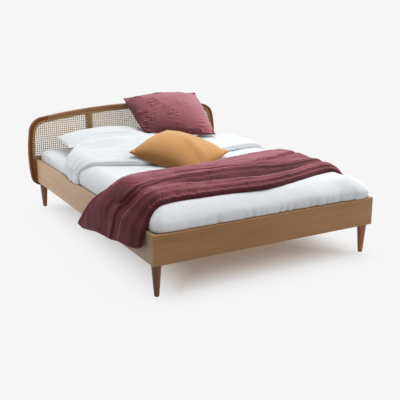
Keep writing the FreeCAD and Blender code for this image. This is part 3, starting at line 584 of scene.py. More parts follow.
def make_turned_back_part():
    """Its columns run along the bed; a goes across it from the right side to the left one."""
    a = places(-BODY_FLAT - BODY_REACH, (-BODY_FLAT, 28), (BODY_FLAT, 150), (BODY_FLAT + BODY_REACH, 40))
    a = a[:, None]
    b = crowded(132)
    hem = smooth_line((-0.77, 0.12), (-0.65, 0.1), (-0.37, 0.073), (-0.1, -0.005), (0.1, -0.028),
        (0.322, -0.024), (0.432, 0.035), (0.548, 0.084), (0.61, 0.11), (0.645, 0.138), (0.675, 0.165),
        (0.705, 0.178), (0.74, 0.168), (0.79, 0.135))(a)
    back = smooth_line((-0.77, 0.47), (-0.6, 0.5), (-0.3, 0.545), (-0.1, 0.57), (0.05, 0.6),
        (0.2, 0.62), (0.4, 0.622), (0.5, 0.6), (0.57, 0.555), (0.61, 0.5), (0.648, 0.462),
        (0.685, 0.44), (0.72, 0.41), (0.79, 0.36))(a)
    crease_1 = smooth_line((-0.77, 0.16), (-0.3, 0.135), (0.1, 0.125), (0.25, 0.145), (0.335, 0.182),
        (0.395, 0.233), (0.451, 0.272), (0.495, 0.288), (0.543, 0.288), (0.6, 0.272), (0.66, 0.276),
        (0.79, 0.235))(a)
    crease_2 = smooth_line((-0.77, 0.31), (-0.3, 0.3), (0.1, 0.3), (0.277, 0.335), (0.364, 0.366),
        (0.434, 0.383), (0.528, 0.392), (0.586, 0.362), (0.64, 0.345), (0.79, 0.295))(a)
    high = smooth_line((-0.77, 0.01), (-0.7, 0.03), (-0.55, 0.045), (0.52, 0.047), (0.62, 0.041),
        (0.68, 0.032), (0.74, 0.022), (0.79, 0.018))(a)
    along = hem + (back - hem) * b
    across, share = a + 0 * b, b + 0 * a
    # it climbs over the front of the pillow at the left
    climb = smooth_line((-0.77, 0.0), (-0.25, 0.0), (0.0, 0.03), (0.1, 0.044), (0.38, 0.048),
        (0.48, 0.04), (0.56, 0.018), (0.63, 0.002), (0.79, 0.0))(a)
    tall = high + climb
    lift = ridged(along, [(hem, 0.0), (hem + 0.014, 0.6 * high), (hem + 0.036, 0.72 * high),
        (crease_1 - 0.055, 0.92 * high), (crease_1 - 0.014, 1.02 * high), (crease_1, 0.66 * high),
        (crease_2 - 0.05, 0.92 * high), (crease_2 - 0.013, high), (crease_2, 0.66 * high + 0.1 * climb),
        (back - 0.085, 0.95 * high + 0.75 * climb), (back - 0.036, tall), (back, 0.0)])
    points, normals, _, depth = over_body(-across, along)
    plan = over_plan(across, along)
    edge_fade = np.minimum(1, 9 * np.minimum(share, 1 - share))
    drawn = over_plan(across * 0.28, along + 0.25 * across)
    uneven = rumple(plan, 0.14, 11.0) * 0.0045 + rumple(drawn, 0.045, 12.0) * 0.0035
    lift = lift + uneven * edge_fade * np.minimum(1, high / 0.03)
    low = 0.0012 - (depth - 0.0015) * step_up(BODY_HEAD - 0.01, BODY_HEAD + 0.012, along)
    under = points + normals * low[..., None]
    over = points + normals * np.maximum(lift, low + 0.0015)[..., None]
    # past the body's end it rolls down to the sheet, or rides on the pillow's front
    roll = np.sqrt(np.clip(1 - np.clip((share - 0.92) / 0.08, 0, 1) ** 2, 0.0004, 1))
    past = along > BODY_HEAD - 0.01
    rolled = np.maximum(roll, lift / np.maximum(tall, 1e-4))[..., None].clip(0, 1)
    over = np.where(past[..., None], under + (over - under) * rolled, over)
    resting = pillow_top(points[..., 0], points[..., 1]) + 0.0015
    riding = np.clip(resting - under[..., 2], 0, None)
    under[..., 2] += riding
    over[..., 2] = np.maximum(over[..., 2], under[..., 2] + 0.016 * roll * (riding > 0))
    return cloth_shell("duvet_turned_back", over[::-1], under[::-1], plan[::-1, :, :2])


# Throw, folded lengthwise: three soft ridges that run across the bed and down its left side

THROW_GAP = 0.0015


def throw_line():
    """The line across the bed under the throw: place a along it, its points and the ways out of it."""
    radius, centre_z = BODY_EDGE + THROW_GAP, BODY_TOP - BODY_EDGE
    right, left = (
        [(side * (BODY_FLAT + radius * math.sin(t)), centre_z + radius * math.cos(t))
            for t in np.radians(np.linspace(*turn, 20))]
        for side, turn in ((1, (84, 0)), (-1, (0, 62))))
    flat = [(x, BODY_TOP + THROW_GAP) for x in np.linspace(BODY_FLAT, -BODY_FLAT, 61)[1:-1]]
    hanging = [(-0.699, 0.3885), (-0.7115, 0.3725), (-0.7225, 0.3595), (-0.7305, 0.347), (-0.736, 0.325),
        (-0.74, 0.3), (-0.745, 0.25), (-0.751, 0.2), (-0.758, 0.15), (-0.766, 0.1)]
    points = np.array(right + flat + left + hanging)
    place = np.concatenate([[0], np.cumsum(np.hypot(*np.diff(points, axis=0).T))])
    place -= place[len(right) + len(flat) // 2]
    ways = np.gradient(points, place, axis=0)
    ways /= np.linalg.norm(ways, axis=1)[:, None]
    return place, points, np.stack([ways[:, 1], -ways[:, 0]], -1)


THROW_HEAD = smooth_line((-0.78, -0.19), (-0.7, -0.172), (-0.62, -0.155), (-0.5, -0.156), (-0.38, -0.17),
    (-0.265, -0.196), (-0.125, -0.224), (0.0, -0.252), (0.17, -0.288), (0.29, -0.306), (0.41, -0.304),
    (0.5, -0.298), (0.56, -0.312), (0.609, -0.334), (0.647, -0.333), (0.683, -0.312), (0.725, -0.262),
    (0.79, -0.172), (0.845, -0.106), (0.923, -0.026), (0.985, 0.028), (1.01, 0.045))
THROW_FOOT = smooth_line((-0.78, -0.77), (-0.7, -0.752), (-0.625, -0.738), (-0.57, -0.738),
    (-0.498, -0.752), (-0.4, -0.783), (-0.31, -0.81), (-0.216, -0.835), (-0.12, -0.86), (-0.018, -0.873),
    (0.1, -0.87), (0.201, -0.86), (0.315, -0.852), (0.386, -0.849), (0.476, -0.843), (0.545, -0.846),
    (0.6, -0.856), (0.66, -0.862), (0.723, -0.876), (0.8, -0.893), (0.85, -0.885), (0.92, -0.85),
    (1.01, -0.79))
THROW_CREASE_A = smooth_line((-0.78, -0.27), (-0.624, -0.329), (-0.527, -0.374), (-0.327, -0.437),
    (-0.161, -0.462), (0.0, -0.44), (0.15, -0.41), (0.3, -0.4), (0.5, -0.42), (0.65, -0.47),
    (0.75, -0.43), (0.85, -0.35), (1.0, -0.25))
THROW_CREST_2 = smooth_line((-0.78, -0.52), (-0.624, -0.545), (-0.517, -0.575), (-0.388, -0.593),
    (-0.252, -0.572), (-0.147, -0.526), (-0.015, -0.506), (0.116, -0.514), (0.273, -0.512), (0.414, -0.542),
    (0.53, -0.584), (0.612, -0.622), (0.651, -0.648), (0.676, -0.645), (0.705, -0.625), (0.742, -0.577),
    (0.82, -0.565), (0.9, -0.528), (1.0, -0.475))
THROW_CREST_3 = smooth_line((-0.78, -0.64), (-0.65, -0.652), (-0.568, -0.659), (-0.487, -0.668),
    (-0.379, -0.707), (-0.23, -0.757), (-0.12, -0.767), (0.011, -0.76), (0.133, -0.743), (0.236, -0.722),
    (0.356, -0.705), (0.434, -0.677), (0.485, -0.683), (0.568, -0.712), (0.616, -0.735), (0.66, -0.735),
    (0.73, -0.7), (0.82, -0.68), (1.0, -0.6))
THROW_HEM = smooth_line((-0.93, 0.795), (-0.918, 0.822), (-0.9, 0.848), (-0.872, 0.872), (-0.835, 0.89),
    (-0.724, 0.911), (-0.609, 0.922), (-0.476, 0.945), (-0.395, 0.949), (-0.262, 0.965), (-0.127, 0.99),
    (-0.038, 1.003), (0.05, 1.0))
THROW_RIGHT_END = -0.762


def make_throw():
    """Its rows follow the line under it, at place a; b goes from its head edge to its foot edge."""
    place, line, ways = throw_line()
    rows = places(0, (0.02, 9), (0.985, 290), (1, 9))[:, None]
    b = crowded(140)[None, :]
    a = THROW_RIGHT_END + (0.95 - THROW_RIGHT_END) * rows + 0 * b
    for _ in range(4):
        along = THROW_HEAD(a) + (THROW_FOOT(a) - THROW_HEAD(a)) * b
        a = THROW_RIGHT_END + (THROW_HEM(along) - THROW_RIGHT_END) * rows
    # the folds waver a little on their way across
    waver = rumple(over_plan(a, 0 * a), 0.16, 31.0) * 0.005
    y_head, y_foot = THROW_HEAD(a), THROW_FOOT(a)
    along = y_head + (y_foot - y_head) * b
    ridge = smooth_line((-0.762, 0.03), (-0.7, 0.041), (-0.62, 0.048), (-0.3, 0.051), (0.55, 0.052),
        (0.7, 0.048), (0.82, 0.041), (1.0, 0.03))(a)
    crest_2, crest_3 = THROW_CREST_2(a) + waver, THROW_CREST_3(a) - waver
    between = crest_2 - crest_3
    crease_a = THROW_CREASE_A(a)
    apart = crease_a - crest_2
    deep_a = smooth_line((-0.742, 0.016), (-0.55, 0.026), (-0.35, 0.034), (-0.15, 0.044), (0.0, 0.049),
        (1.0, 0.049))(a)
    # how far behind the second crest the first ridge ends, and how deep the pocket between them is
    wall = smooth_line((-0.742, 0.05), (-0.2, 0.06), (0.3, 0.05), (0.53, 0.04), (0.6, 0.046),
        (0.65, 0.075), (0.72, 0.08), (1.0, 0.07))(a)
    deep_1 = smooth_line((-0.762, 0.02), (-0.62, 0.02), (-0.4, 0.02), (-0.25, 0.03), (-0.14, 0.044),
        (0.15, 0.046), (0.3, 0.046), (0.42, 0.04), (0.5, 0.024), (0.56, 0.012), (0.62, 0.006),
        (0.68, 0.008), (0.715, 0.02), (0.75, 0.036), (0.82, 0.036), (1.0, 0.027))(a)
    deep_2 = smooth_line((-0.742, 0.018), (-0.62, 0.018), (-0.4, 0.01), (-0.1, 0.006), (0.25, 0.007),
        (0.42, 0.02), (0.52, 0.036), (0.6, 0.043), (0.8, 0.038), (1.0, 0.028))(a)
    inside = smooth_line((-0.75, 0.006), (0.7, 0.006), (0.785, 0.03), (0.83, 0.045), (0.9, 0.06),
        (1.0, 0.072))(a)
    inner = y_head - inside
    lift = ridged(along, [
        (y_head, 0.004), (y_head - inside * 0.5, 0.012), (inner, 0.011), (inner - 0.032, ridge * 0.86),
        (crease_a + 0.05, ridge), (crease_a, np.minimum(deep_a, ridge)),
        (crease_a - np.minimum(0.03, 0.3 * apart), ridge * 0.98),
        (crest_2 + np.minimum(wall, 0.55 * apart), ridge * 0.84),
        (crest_2 + np.minimum(0.02, 0.28 * apart), deep_1), (crest_2, ridge * 1.02),
        (crest_2 - 0.22 * between, ridge * 0.72),
        (crest_3 + 0.3 * between, 0.6 * deep_2 + 0.4 * np.minimum(ridge * 0.5, deep_2 + 0.012)),
        (crest_3 + 0.1 * between, deep_2), (crest_3, ridge),
        (crest_3 * 0.5 + y_foot * 0.5, ridge * 0.86), (y_foot + 0.02, ridge * 0.55), (y_foot, 0.003)])
    plan = over_plan(a, along)
    fade = np.minimum(1, 8 * np.minimum(b, 1 - b))
    lengthwise = over_plan(a * 0.2, along)
    lift = lift + fade * (rumple(lengthwise, 0.05, 21.0) * 0.0011 + rumple(plan, 0.12, 22.0) * 0.0038
        + rumple(lengthwise, 0.012, 23.0) * 0.0003)
    # short creases across the foot edge, where the folded layers pull
    up = along - y_foot
    for at, deep, reach in ((0.652, 0.006, 0.07), (0.636, 0.005, 0.05), (0.592, 0.007, 0.08),
            (0.574, 0.006, 0.06), (0.56, 0.004, 0.05), (0.503, 0.006, 0.07), (0.487, 0.005, 0.05),
            (0.452, 0.004, 0.06), (0.431, 0.006, 0.08), (0.412, 0.005, 0.07), (0.396, 0.006, 0.06),
            (0.33, 0.003, 0.06), (0.21, 0.003, 0.05), (0.08, 0.003, 0.06), (-0.16, 0.003, 0.06)):
        crease = deep * np.exp(-((a + 0.3 * (up - 0.04) - at) / 0.0065) ** 2)
        lift = lift - crease * step_up(0.004, 0.02, up) * step_up(reach, reach * 0.5, up)
    end, tail = np.minimum(rows * 80, 1), np.clip((1 - rows) * 75, 0, 1)
    round_off = np.sqrt(np.clip(1 - (1 - end) ** 2, 0.02, 1)) * np.sqrt(np.clip(1 - (1 - tail) ** 2, 0.08, 1))
    lift = np.maximum(lift * round_off, 0.0025)
    x, z = np.interp(a, place, line[:, 0]), np.interp(a, place, line[:, 1])
    way_x, way_z = np.interp(a, place, ways[:, 0]), np.interp(a, place, ways[:, 1])
    size = np.hypot(way_x, way_z)
    way = np.stack([way_x / size, 0 * size, way_z / size], -1)
    under = np.stack([x, along, z], -1)
    piece = cloth_shell("throw_cloth", under + way * lift[..., None], under, plan[..., :2])
    # painted light: a painted highlight on the crests and the cloth behind them, painted shade in the
    # hollows, the valley and the hang
    painted_hollow_shade = np.clip(1 - lift / (0.42 * ridge), 0, 1)
    down = (crest_2 - along) / between
    painted_valley_shade = step_up(0.03, 0.2, down) * step_up(1.0, 0.9, down)
    painted_valley_shade = painted_valley_shade * smooth_line((-0.762, 0.2), (-0.55, 0.5), (-0.3, 1.0), (0.25, 1.0), (0.42, 0.35),
        (0.5, 0.0), (1.0, 0.0))(a)
    crest = (1.2 * np.exp(-((along - crest_2 - 0.004) / 0.01) ** 2)
        + 0.7 * np.exp(-((along - crest_3) / 0.012) ** 2))
    pale = 0.3 * step_up(crease_a - 0.01, crease_a + 0.04, along) + 0.45 * crest * step_up(0.8, 0.6, a)
    hang = step_up(0.56, 0.82, a)
    edge = np.exp(-((along - inner + 0.05) / 0.02) ** 2)
    more = pale * (1 - hang) - 1.2 * painted_hollow_shade - 0.7 * painted_valley_shade - (0.75 - 0.45 * crest - 0.45 * edge) * hang
    creased(piece, size=0.02, stretch=2.6, depth=0.003, seed=71.0,
        where=lambda p: np.arange(len(p)) < len(p) / 2)
    shade(piece, toward=(0.4, 0.5, 0.77), level=0.62, gain=2.4, more=np.concatenate([more.ravel()] * 2),
        part=np.concatenate([step_up(0.78, 0.56, a).ravel()] * 2) * 0.85 + 0.15)
    return piece


# Pillow and cushions: two flat layers sewn together round the edge and filled

def filled_case(name, width, depth, crown, belly, draw, count):
    """A filled case that lies flat, its seam at z = 0."""
    t = np.linspace(-1, 1, count)
    t = 0.55 * np.sin(t * math.pi / 2) + 0.45 * t
    v, u = np.meshgrid(t, t, indexing="ij")
    rise = np.sqrt(np.clip((1 - u ** 2) * (1 - v ** 2), 0, 1))
    x = u * (width / 2 - draw * (1 - v ** 2))
    y = v * (depth / 2 - draw * (1 - u ** 2))
    upper = np.stack([x, y, crown * rise], -1)
    lower = np.stack([x, y, -belly * rise], -1)
    piece = cloth_shell(name, upper, lower, np.stack([u * width / 2, v * depth / 2], -1))
    with edited(piece) as mesh:
        bmesh.ops.remove_doubles(mesh, verts=mesh.verts, dist=1e-5)
    finish_mesh(piece)
    return piece


def settle(piece, pressure, slack, frames, most):
    """Cloth simulation: the case swells round its filling, with a little spare cloth for creases."""
    before = vertex_values(piece, "co")
    filling = with_modifier(piece, "CLOTH")
    for key, value in {"quality": 5, "mass": 0.15, "use_pressure": True, "uniform_pressure_force": pressure,
            "shrink_min": -slack, "tension_stiffness": 22, "compression_stiffness": 22, "shear_stiffness": 6,
            "bending_stiffness": 0.3, "air_damping": 2}.items():
        setattr(filling.settings, key, value)
    filling.settings.effector_weights.gravity = 0
    filling.collision_settings.use_collision = False
    filling.point_cache.frame_start, filling.point_cache.frame_end = 1, frames
    for number in range(1, frames + 1):
        bpy.context.scene.frame_set(number)
    bpy.ops.object.modifier_apply(modifier=filling.name)
    bpy.context.scene.frame_set(1)
    moved = vertex_values(piece, "co") - before
    size = np.linalg.norm(moved, axis=1)
    set_points(piece, before + moved * np.minimum(1, most / np.maximum(size, 1e-9))[:, None])


def refine(piece):
    """One subdivision, applied."""
    finer = with_modifier(piece, "SUBSURF", levels=1, render_levels=1)
    bpy.ops.object.modifier_apply(modifier=finer.name)
    finish_mesh(piece)


def turned(points, turn_first, lean, turn_last, centre):
    """Turn about Z, lean back about X, turn about Z again, then move to the centre."""
    for angle, axis in ((turn_first, "Z"), (lean, "X"), (turn_last, "Z")):
        c, s = math.cos(math.radians(angle)), math.sin(math.radians(angle))
        about_z, about_x = [[c, -s, 0], [s, c, 0], [0, 0, 1]], [[1, 0, 0], [0, c, -s], [0, s, c]]
        points = points @ np.array(about_z if axis == "Z" else about_x).T
    return points + np.array(centre)


def creased(piece, size, stretch, depth, seed, where):
    """Sharp little creases, stretch times longer than wide; where says how strong they are at each point."""
    points, normals = vertex_values(piece, "co"), vertex_values(piece, "normal")
    bend = 0.35 * rumple(points, 0.22, seed + 1.0, 1)
    along = points[:, 0] * np.cos(bend) + points[:, 1] * np.sin(bend)
    over = -points[:, 0] * np.sin(bend) + points[:, 1] * np.cos(bend)
    field = rumple(over_plan(along / stretch, over), size, seed)
    sharp = (1 - np.clip(np.abs(field) * 2.2, 0, 1)) ** 3
    gate = step_up(-0.25, 0.35, rumple(points, 0.1, seed + 2.0, 1))
    set_points(piece, points + normals * ((sharp * gate * where(points) - 0.3) * depth)[:, None])


def rest_on(points, height):
    """Keep points above a height that may differ from point to point, with a soft edge."""
    edge = 0.004
    gap = points[:, 2] - height
    points[:, 2] = height + np.where(gap > edge, gap, edge * np.exp(np.minimum(gap / edge - 1, 0)))
    return points


def toward_corner(points, size, side, end, power):
    """From 0 far off to 1 at the corner of a cushion on this side (1 or -1) and at this end."""
    x, y = points[:, 0], points[:, 1]
    return (np.clip(0.5 + side * x / size, 0, 1) * np.clip(0.5 + end * y / size, 0, 1)) ** power


def make_pillow():
    piece = filled_case("pillow_case", width=0.715, depth=0.405, crown=0.096, belly=0.072, draw=0.006,
        count=48)
    settle(piece, pressure=5.0, slack=0.035, frames=16, most=0.014)
    refine(piece)
    creased(piece, size=0.03, stretch=3.0, depth=0.0022, seed=41.0,
        where=lambda p: step_up(0.15, 0.33, np.abs(p[:, 0])))
    points = vertex_values(piece, "co")
    # the back left corner is drawn in and stands a little higher
    corner = np.clip(-points[:, 0] / 0.35, 0, 1) ** 2 * np.clip(points[:, 1] / 0.2, 0, 1)
    points = points + np.outer(corner, (0.028, 0.0, 0.012))
    set_points(piece, rest_on(points + np.array(PILLOW_PLACE), SHEET_TOP + 0.0005))
    return piece


def make_large_cushion():
    piece = filled_case("cushion_large_cover", width=0.598, depth=0.598, crown=0.118, belly=0.062,
        draw=-0.008, count=52)
    settle(piece, pressure=4.0, slack=0.035, frames=16, most=0.014)
    refine(piece)
    creased(piece, size=0.026, stretch=4.5, depth=0.0085, seed=51.0,
        where=lambda p: step_up(0.3, -0.12, p[:, 0] + 0.4 * p[:, 1]) * 0.75 + 0.35)
    points = vertex_values(piece, "co")
    # its lower left corner is crushed where it leans on the pillow
    crush = toward_corner(points, size=0.57, side=-1, end=-1, power=1)
    points = points + np.outer(crush, (0.06, 0.088, 0.0))
    droop = toward_corner(points, size=0.57, side=-1, end=1, power=2)
    points = points + np.outer(droop, (0.004, 0.0, -0.026))
    points = turned(points, turn_first=0, lean=24.2, turn_last=-12, centre=(0.216, 0.706, 0.631))
    set_points(piece, rest_on(points, 0.518))
    # painted light: a painted highlight where it faces up and to the right, painted shade where it turns away
    shade(piece, toward=(0.7, 0.15, 0.7), level=0.45, gain=1.7)
    return piece


def make_small_cushion():
    piece = filled_case("cushion_small_cover", width=0.486, depth=0.486, crown=0.112, belly=0.062,
        draw=-0.006, count=46)
    settle(piece, pressure=5.0, slack=0.03, frames=16, most=0.012)
    refine(piece)
    creased(piece, size=0.02, stretch=3.0, depth=0.0012, seed=61.0,
        where=lambda p: step_up(0.12, 0.22, np.hypot(p[:, 0], p[:, 1])))
    points = vertex_values(piece, "co")
    corner = toward_corner(points, size=0.48, side=1, end=-1, power=2)
    # a soft edge runs down its near face
    off = np.abs(points[:, 0] - 0.06 - points[:, 1] * 0.48)
    points[:, 2] += (0.008 * np.exp(-(off / 0.05) ** 2) * step_up(0.06, -0.06, points[:, 1])
        * step_up(-0.23, -0.16, points[:, 1]) * (points[:, 2] > 0))
    points = points + np.outer(corner, (0.012, -0.012, 0.0))
    points = turned(points, turn_first=32.6, lean=15.5, turn_last=0, centre=(-0.064, 0.008, 0.514))
    set_points(piece, rest_on(points, BODY_TOP + 0.001))
    # painted light: a painted highlight where it faces up and to the right, painted shade where it turns away
    shade(piece, toward=(0.62, 0.35, 0.7), level=0.46, gain=1.8)
    return piece


# Fabrics

def woven_group():
    """Woven cloth read from the cloth map in metres: threads, slubs and creases."""
    group, start, end = new_group("woven cloth", {"Cloth": "Vector", "Object": "Vector", "Light": "Color",
        "Dark": "Color", "Threads": "Float", "Slub": "Float", "Crinkle": "Float", "Crinkle Size": "Float"},
        {"Colour": "Color", "Height": "Float", "Roughness": "Float"})
    do = partial(maths, group)
    flat = add(group, "SeparateXYZ", {0: start["Cloth"]}).outputs
    turns = do("MULTIPLY", start["Threads"], 6.2832)
    weave = do("MULTIPLY", *(do("SINE", do("MULTIPLY", flat[way], turns)) for way in (0, 1)))
    slubs = do("ADD", *(stretched_noise(group, start["Cloth"], stretch, 2.0)
        for stretch in ((18.0, 700.0, 1.0), (700.0, 18.0, 1.0))))
    slubs = do("MULTIPLY", do("SUBTRACT", slubs, 1.0), start["Slub"])
    crinkle = add(group, "TexNoise", {"Vector": start["Object"], "Scale": start["Crinkle Size"],
        "Detail": 5.0, "Roughness": 0.55, "Distortion": 0.9}).outputs[0]
    creases = do("ABSOLUTE", do("SUBTRACT", crinkle, 0.5))
    broad = add(group, "TexNoise", {"Vector": start["Object"], "Scale": 4.0, "Detail": 3.0}).outputs[0]
    tone = 0.5
    for layer, middle, share in ((broad, 0.5, 0.7), (slubs, 0.0, 1.3), (weave, 0.0, 0.06)):
        tone = do("ADD", tone, do("MULTIPLY", do("SUBTRACT", layer, middle), share))
    tone = add(group, "Clamp", {"Value": tone}).outputs[0]
    height = do("ADD", do("MULTIPLY", weave, 0.04), do("MULTIPLY", slubs, 0.12))
    feed(group, end["Colour"], mix_colour(group, tone, start["Light"], start["Dark"]))
    feed(group, end["Height"],
        do("SUBTRACT", height, do("MULTIPLY", creases, do("MULTIPLY", start["Crinkle"], 6.0))))
    feed(group, end["Roughness"], do("MULTIPLY_ADD", slubs, 0.3, 0.8))
    return group


WOVEN = woven_group()
# how far the cloth turns to its pale colour as painted highlight where it faces the light most
PAINTED_HIGHLIGHT_SHARE = 0.32


def cloth(name, light, dark, threads, slub, crinkle, crinkle_size, sheen, tint=(255, 255, 255), painted_shade_share=0.0,
        pale=None, deep=None):
    """A fabric; with a shade share it turns toward its deep colour as painted shade and toward its pale
    colour as painted highlight, by the piece's own tone, point by point.
    """
    material, tree, shader = new_material(name, {"Sheen Weight": sheen, "Sheen Roughness": 0.32,
        "Sheen Tint": srgb(*tint), "Specular IOR Level": 0.25})
    weave = add(tree, "Group", {"Cloth": add(tree, "UVMap", uv_map="cloth").outputs[0],
        "Object": add(tree, "TexCoord").outputs["Object"], "Light": srgb(*light), "Dark": srgb(*dark),
        "Threads": threads, "Slub": slub, "Crinkle": crinkle, "Crinkle Size": crinkle_size},
        node_tree=WOVEN).outputs
    colour = weave["Colour"]
    # painted light: the tone attribute mixes in the deep colour as painted shade and the pale colour as
    # painted highlight
    if painted_shade_share:
        tone = add(tree, "Attribute", attribute_name="tone").outputs["Fac"]
        for limit, share, other in (("MINIMUM", -painted_shade_share, deep), ("MAXIMUM", PAINTED_HIGHLIGHT_SHARE, pale)):
            amount = maths(tree, "MULTIPLY", maths(tree, limit, tone, 0.0), share)
            colour = mix_colour(tree, amount, colour, srgb(*other))
    cover(tree, shader, colour, weave["Roughness"], weave["Height"], 0.001, 0.8)
    return material


# the last three values of a cloth with painted light: its painted shade share, its pale painted-highlight
# colour and its deep painted-shade colour
FINISHES = {
    "white_cotton": cloth("white washed cotton", (236, 239, 242), (226, 230, 234), 1500.0, 0.25, 0.1, 14.0,
        0.12),
    "burgundy_linen": cloth("burgundy linen", (184, 112, 122), (134, 72, 82), 900.0, 0.6, 0.35, 26.0, 0.5,
        (255, 208, 224), 0.72, (236, 192, 204), (66, 8, 18)),
    "throw_linen": cloth("burgundy gauze", (146, 73, 84), (95, 37, 46), 700.0, 0.6, 0.35, 24.0, 0.42,
        (255, 165, 185), 0.76, (230, 178, 192), (52, 4, 12)),
    "mustard_cotton": cloth("mustard cotton", (218, 163, 103), (198, 142, 82), 1200.0, 0.35, 0.06, 16.0, 0.6,
        (255, 225, 185), 0.68, (252, 224, 184), (96, 48, 0)),
    "mattress_ticking": cloth("mattress ticking", (232, 230, 224), (216, 213, 205), 900.0, 0.3, 0.05, 12.0,
        0.1),
    "cane": wood("split cane", (214, 184, 148), (172, 138, 102), ALONG_X, 3.0, 0.3, bump=0.0001)}


# Each soft or woven piece: its maker, padding and body, the CAD piece that it stands for, and its finish

for make, fill, body, stands_for, slot in (
        *((partial(make_cane, side), None, "frame", "cane_" + side, "cane")
            for side in ("left", "centre", "right")),
        (make_mattress_ticking, 1.0, "bedding", "mattress", "mattress_ticking"),
        (make_fitted_sheet, None, "bedding", "fitted_sheet", "white_cotton"),
        (make_duvet_body, 0.6, "bedding", "duvet", "white_cotton"),
        (make_turned_back_part, 0.4, "bedding", "duvet", "white_cotton"),
        (make_throw, 0.3, "bedding", "throw", "throw_linen"),
        (make_pillow, 0.7, "bedding", "pillow", "white_cotton"),
        (make_large_cushion, 0.6, "large_cushion", "large_cushion", "burgundy_linen"),
        (make_small_cushion, 0.7, "small_cushion", "small_cushion", "mustard_cotton")):
    piece = make()
    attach(piece, body)
    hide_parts(stands_for)
    paint(FINISHES[slot], piece)


# Studio: pale floor, soft light and the camera

BACKGROUND = srgb(246, 246, 246)
# the bed's plan as the floor's shadow sees it
SHADOW_CENTRE = (0.03, -0.05, 0.0)
SHADOW_HALF = (0.58, 0.87, 0.0)
# the glow's painted warm tint near the bed, for light thrown back by the wood
WARM_GLOW_NEAR_BED = (0.922, 0.641, 0.471)
TO_COOL = (0.0, 0.28, 0.45)


def seen_directly(tree):
    """1 where the camera sees a thing itself, a reflection of it, or it through something clear."""
    path = add(tree, "LightPath").outputs
    direct = maths(tree, "MAXIMUM", path["Is Camera Ray"], path["Is Glossy Ray"])
    return maths(tree, "MAXIMUM", direct, path["Is Transmission Ray"])


def mixed(tree, share, first, second):
    return add(tree, "MixShader", {0: share, 1: first.outputs[0], 2: second.outputs[0]})


def make_floor():
    bpy.ops.mesh.primitive_plane_add(size=60, location=(0, 0, -0.0005))
    floor = bpy.context.object
    floor.name = "floor"
    material, tree, _ = new_material("pale floor", {"Base Color": (0.94, 0.89, 0.86, 1), "Roughness": 1.0,
        "Specular IOR Level": 0.0})
    # how far a place lies outside the bed's plan, or inside it with a minus
    off = vectors(tree, "SUBTRACT", add(tree, "TexCoord").outputs["Object"], SHADOW_CENTRE)
    off = vectors(tree, "SUBTRACT", vectors(tree, "ABSOLUTE", off), SHADOW_HALF)
    beyond = vectors(tree, "LENGTH", vectors(tree, "MAXIMUM", off, (0.0, 0.0, 0.0)))
    parts = add(tree, "SeparateXYZ", {0: off}).outputs
    within = maths(tree, "MINIMUM", maths(tree, "MAXIMUM", parts[0], parts[1]), 0.0)
    reach = maths(tree, "ADD", beyond, within)
    # under the bed the floor shows its own shadow, and further out more and more of a pale glow,
    # which is warm near the bed as a painted tint of light thrown back by the wood into the shadow
    direct = seen_directly(tree)
    fade = add(tree, "MapRange", {"Value": reach, "From Min": -0.27, "From Max": 0.27, "To Min": 0.23,
        "To Max": 0.97}, interpolation_type="SMOOTHSTEP").outputs[0]
    cool = add(tree, "MapRange", {"Value": reach, "From Min": -0.32, "From Max": 0.02}).outputs[0]
    glow = add(tree, "Emission", {"Color": vectors(tree, "ADD", vectors(tree, "SCALE", TO_COOL, cool),
        WARM_GLOW_NEAR_BED), "Strength": 1.0})
    # it gives back less light than it shows, so the bed's sides keep their own shade
    dull = add(tree, "BsdfDiffuse", {"Color": (0.66, 0.655, 0.65, 1)})
    lit = mixed(tree, direct, dull, tree.nodes["Principled BSDF"])
    whole = mixed(tree, maths(tree, "MULTIPLY", direct, fade), lit, glow)
    feed(tree, tree.nodes["Material Output"].inputs[0], whole.outputs[0])
    floor.data.materials.append(material)
    return floor


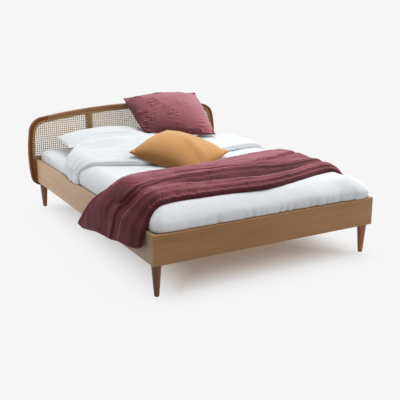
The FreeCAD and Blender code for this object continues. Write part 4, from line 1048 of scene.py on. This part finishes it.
def make_surroundings():
    """Pale all round where the camera sees it; as light, brightest from one side above."""
    world = bpy.data.worlds.new("studio")
    bpy.context.scene.world = world
    world.use_nodes = True
    tree = world.node_tree
    tree.nodes.clear()
    side = vectors(tree, "DOT_PRODUCT", add(tree, "TexCoord").outputs["Generated"], (0.48, 0.36, 0.8))
    near = maths(tree, "POWER", maths(tree, "MULTIPLY_ADD", side, 0.5, 0.5), 1.6)
    strength = maths(tree, "MULTIPLY_ADD", near, 0.8, 0.08)
    light = add(tree, "Background", {"Color": WHITE, "Strength": strength})
    seen = add(tree, "Background", {"Color": BACKGROUND, "Strength": 1.0})
    feed(tree, add(tree, "OutputWorld").inputs[0], mixed(tree, seen_directly(tree), light, seen).outputs[0])


def look_from(thing, place, aim):
    """Turn a lamp so that it shines from a place toward an aim."""
    thing.rotation_euler = (Vector(place) - Vector(aim)).to_track_quat("Z", "Y").to_euler()


def make_lamps(floor):
    lamp = bpy.data.lights.new("key", "SUN")
    lamp.energy = 1.25
    lamp.angle = math.radians(50)
    look_from(new_object("key", lamp), (0.26, 0.14, 0.95), (0, 0, 0))
    bed_only = bpy.data.collections.new("lit by the windows")
    bed_only.objects.link(floor)
    bed_only.collection_objects[0].light_linking.link_state = "EXCLUDE"
    woodwork = bpy.data.collections.new("lit low")
    for piece in cad_pieces("foot_board", "side_rail_left", "leg_foot_", "leg_head_"):
        woodwork.objects.link(piece)
    far_legs = bpy.data.collections.new("lit from the front")
    for piece in cad_pieces("leg_foot_right", "leg_head_left"):
        far_legs.objects.link(piece)
    for name, size, energy, place, aim, receivers in (
            ("right window", 1.8, 42, (3.0, -0.4, 2.0), (0.1, 0.0, 0.35), bed_only),
            ("left window", 1.0, 9, (-2.3, 1.35, 0.95), (-0.75, 0.6, 0.25), bed_only),
            ("low right", 0.8, 16, (2.2, -2.4, 0.8), (0.65, -0.98, 0.2), woodwork),
            ("low left", 0.8, 9, (-2.0, 2.0, 0.5), (-0.72, 0.9, 0.2), woodwork),
            ("on two legs", 0.8, 80, (-1.5, -3.5, 1.0), (0.0, 0.0, 0.2), far_legs)):
        lamp = bpy.data.lights.new(name, "AREA")
        lamp.shape = "DISK"
        lamp.size = size
        lamp.energy = energy
        window = new_object(name, lamp)
        window.light_linking.receiver_collection = receivers
        window.location = place
        look_from(window, place, aim)


def make_camera():
    camera = bpy.data.cameras.new("camera")
    camera.lens = 65.39
    camera.sensor_width = 36
    view = new_object("camera", camera)
    view.location = (-2.2029, -4.0948, 1.5468)
    view.rotation_euler = (math.radians(90 - 16.3), 0, math.radians(-29.26))
    bpy.context.scene.camera = view
    bpy.context.scene.view_settings.view_transform = "Standard"


make_lamps(make_floor())
make_surroundings()
make_camera()
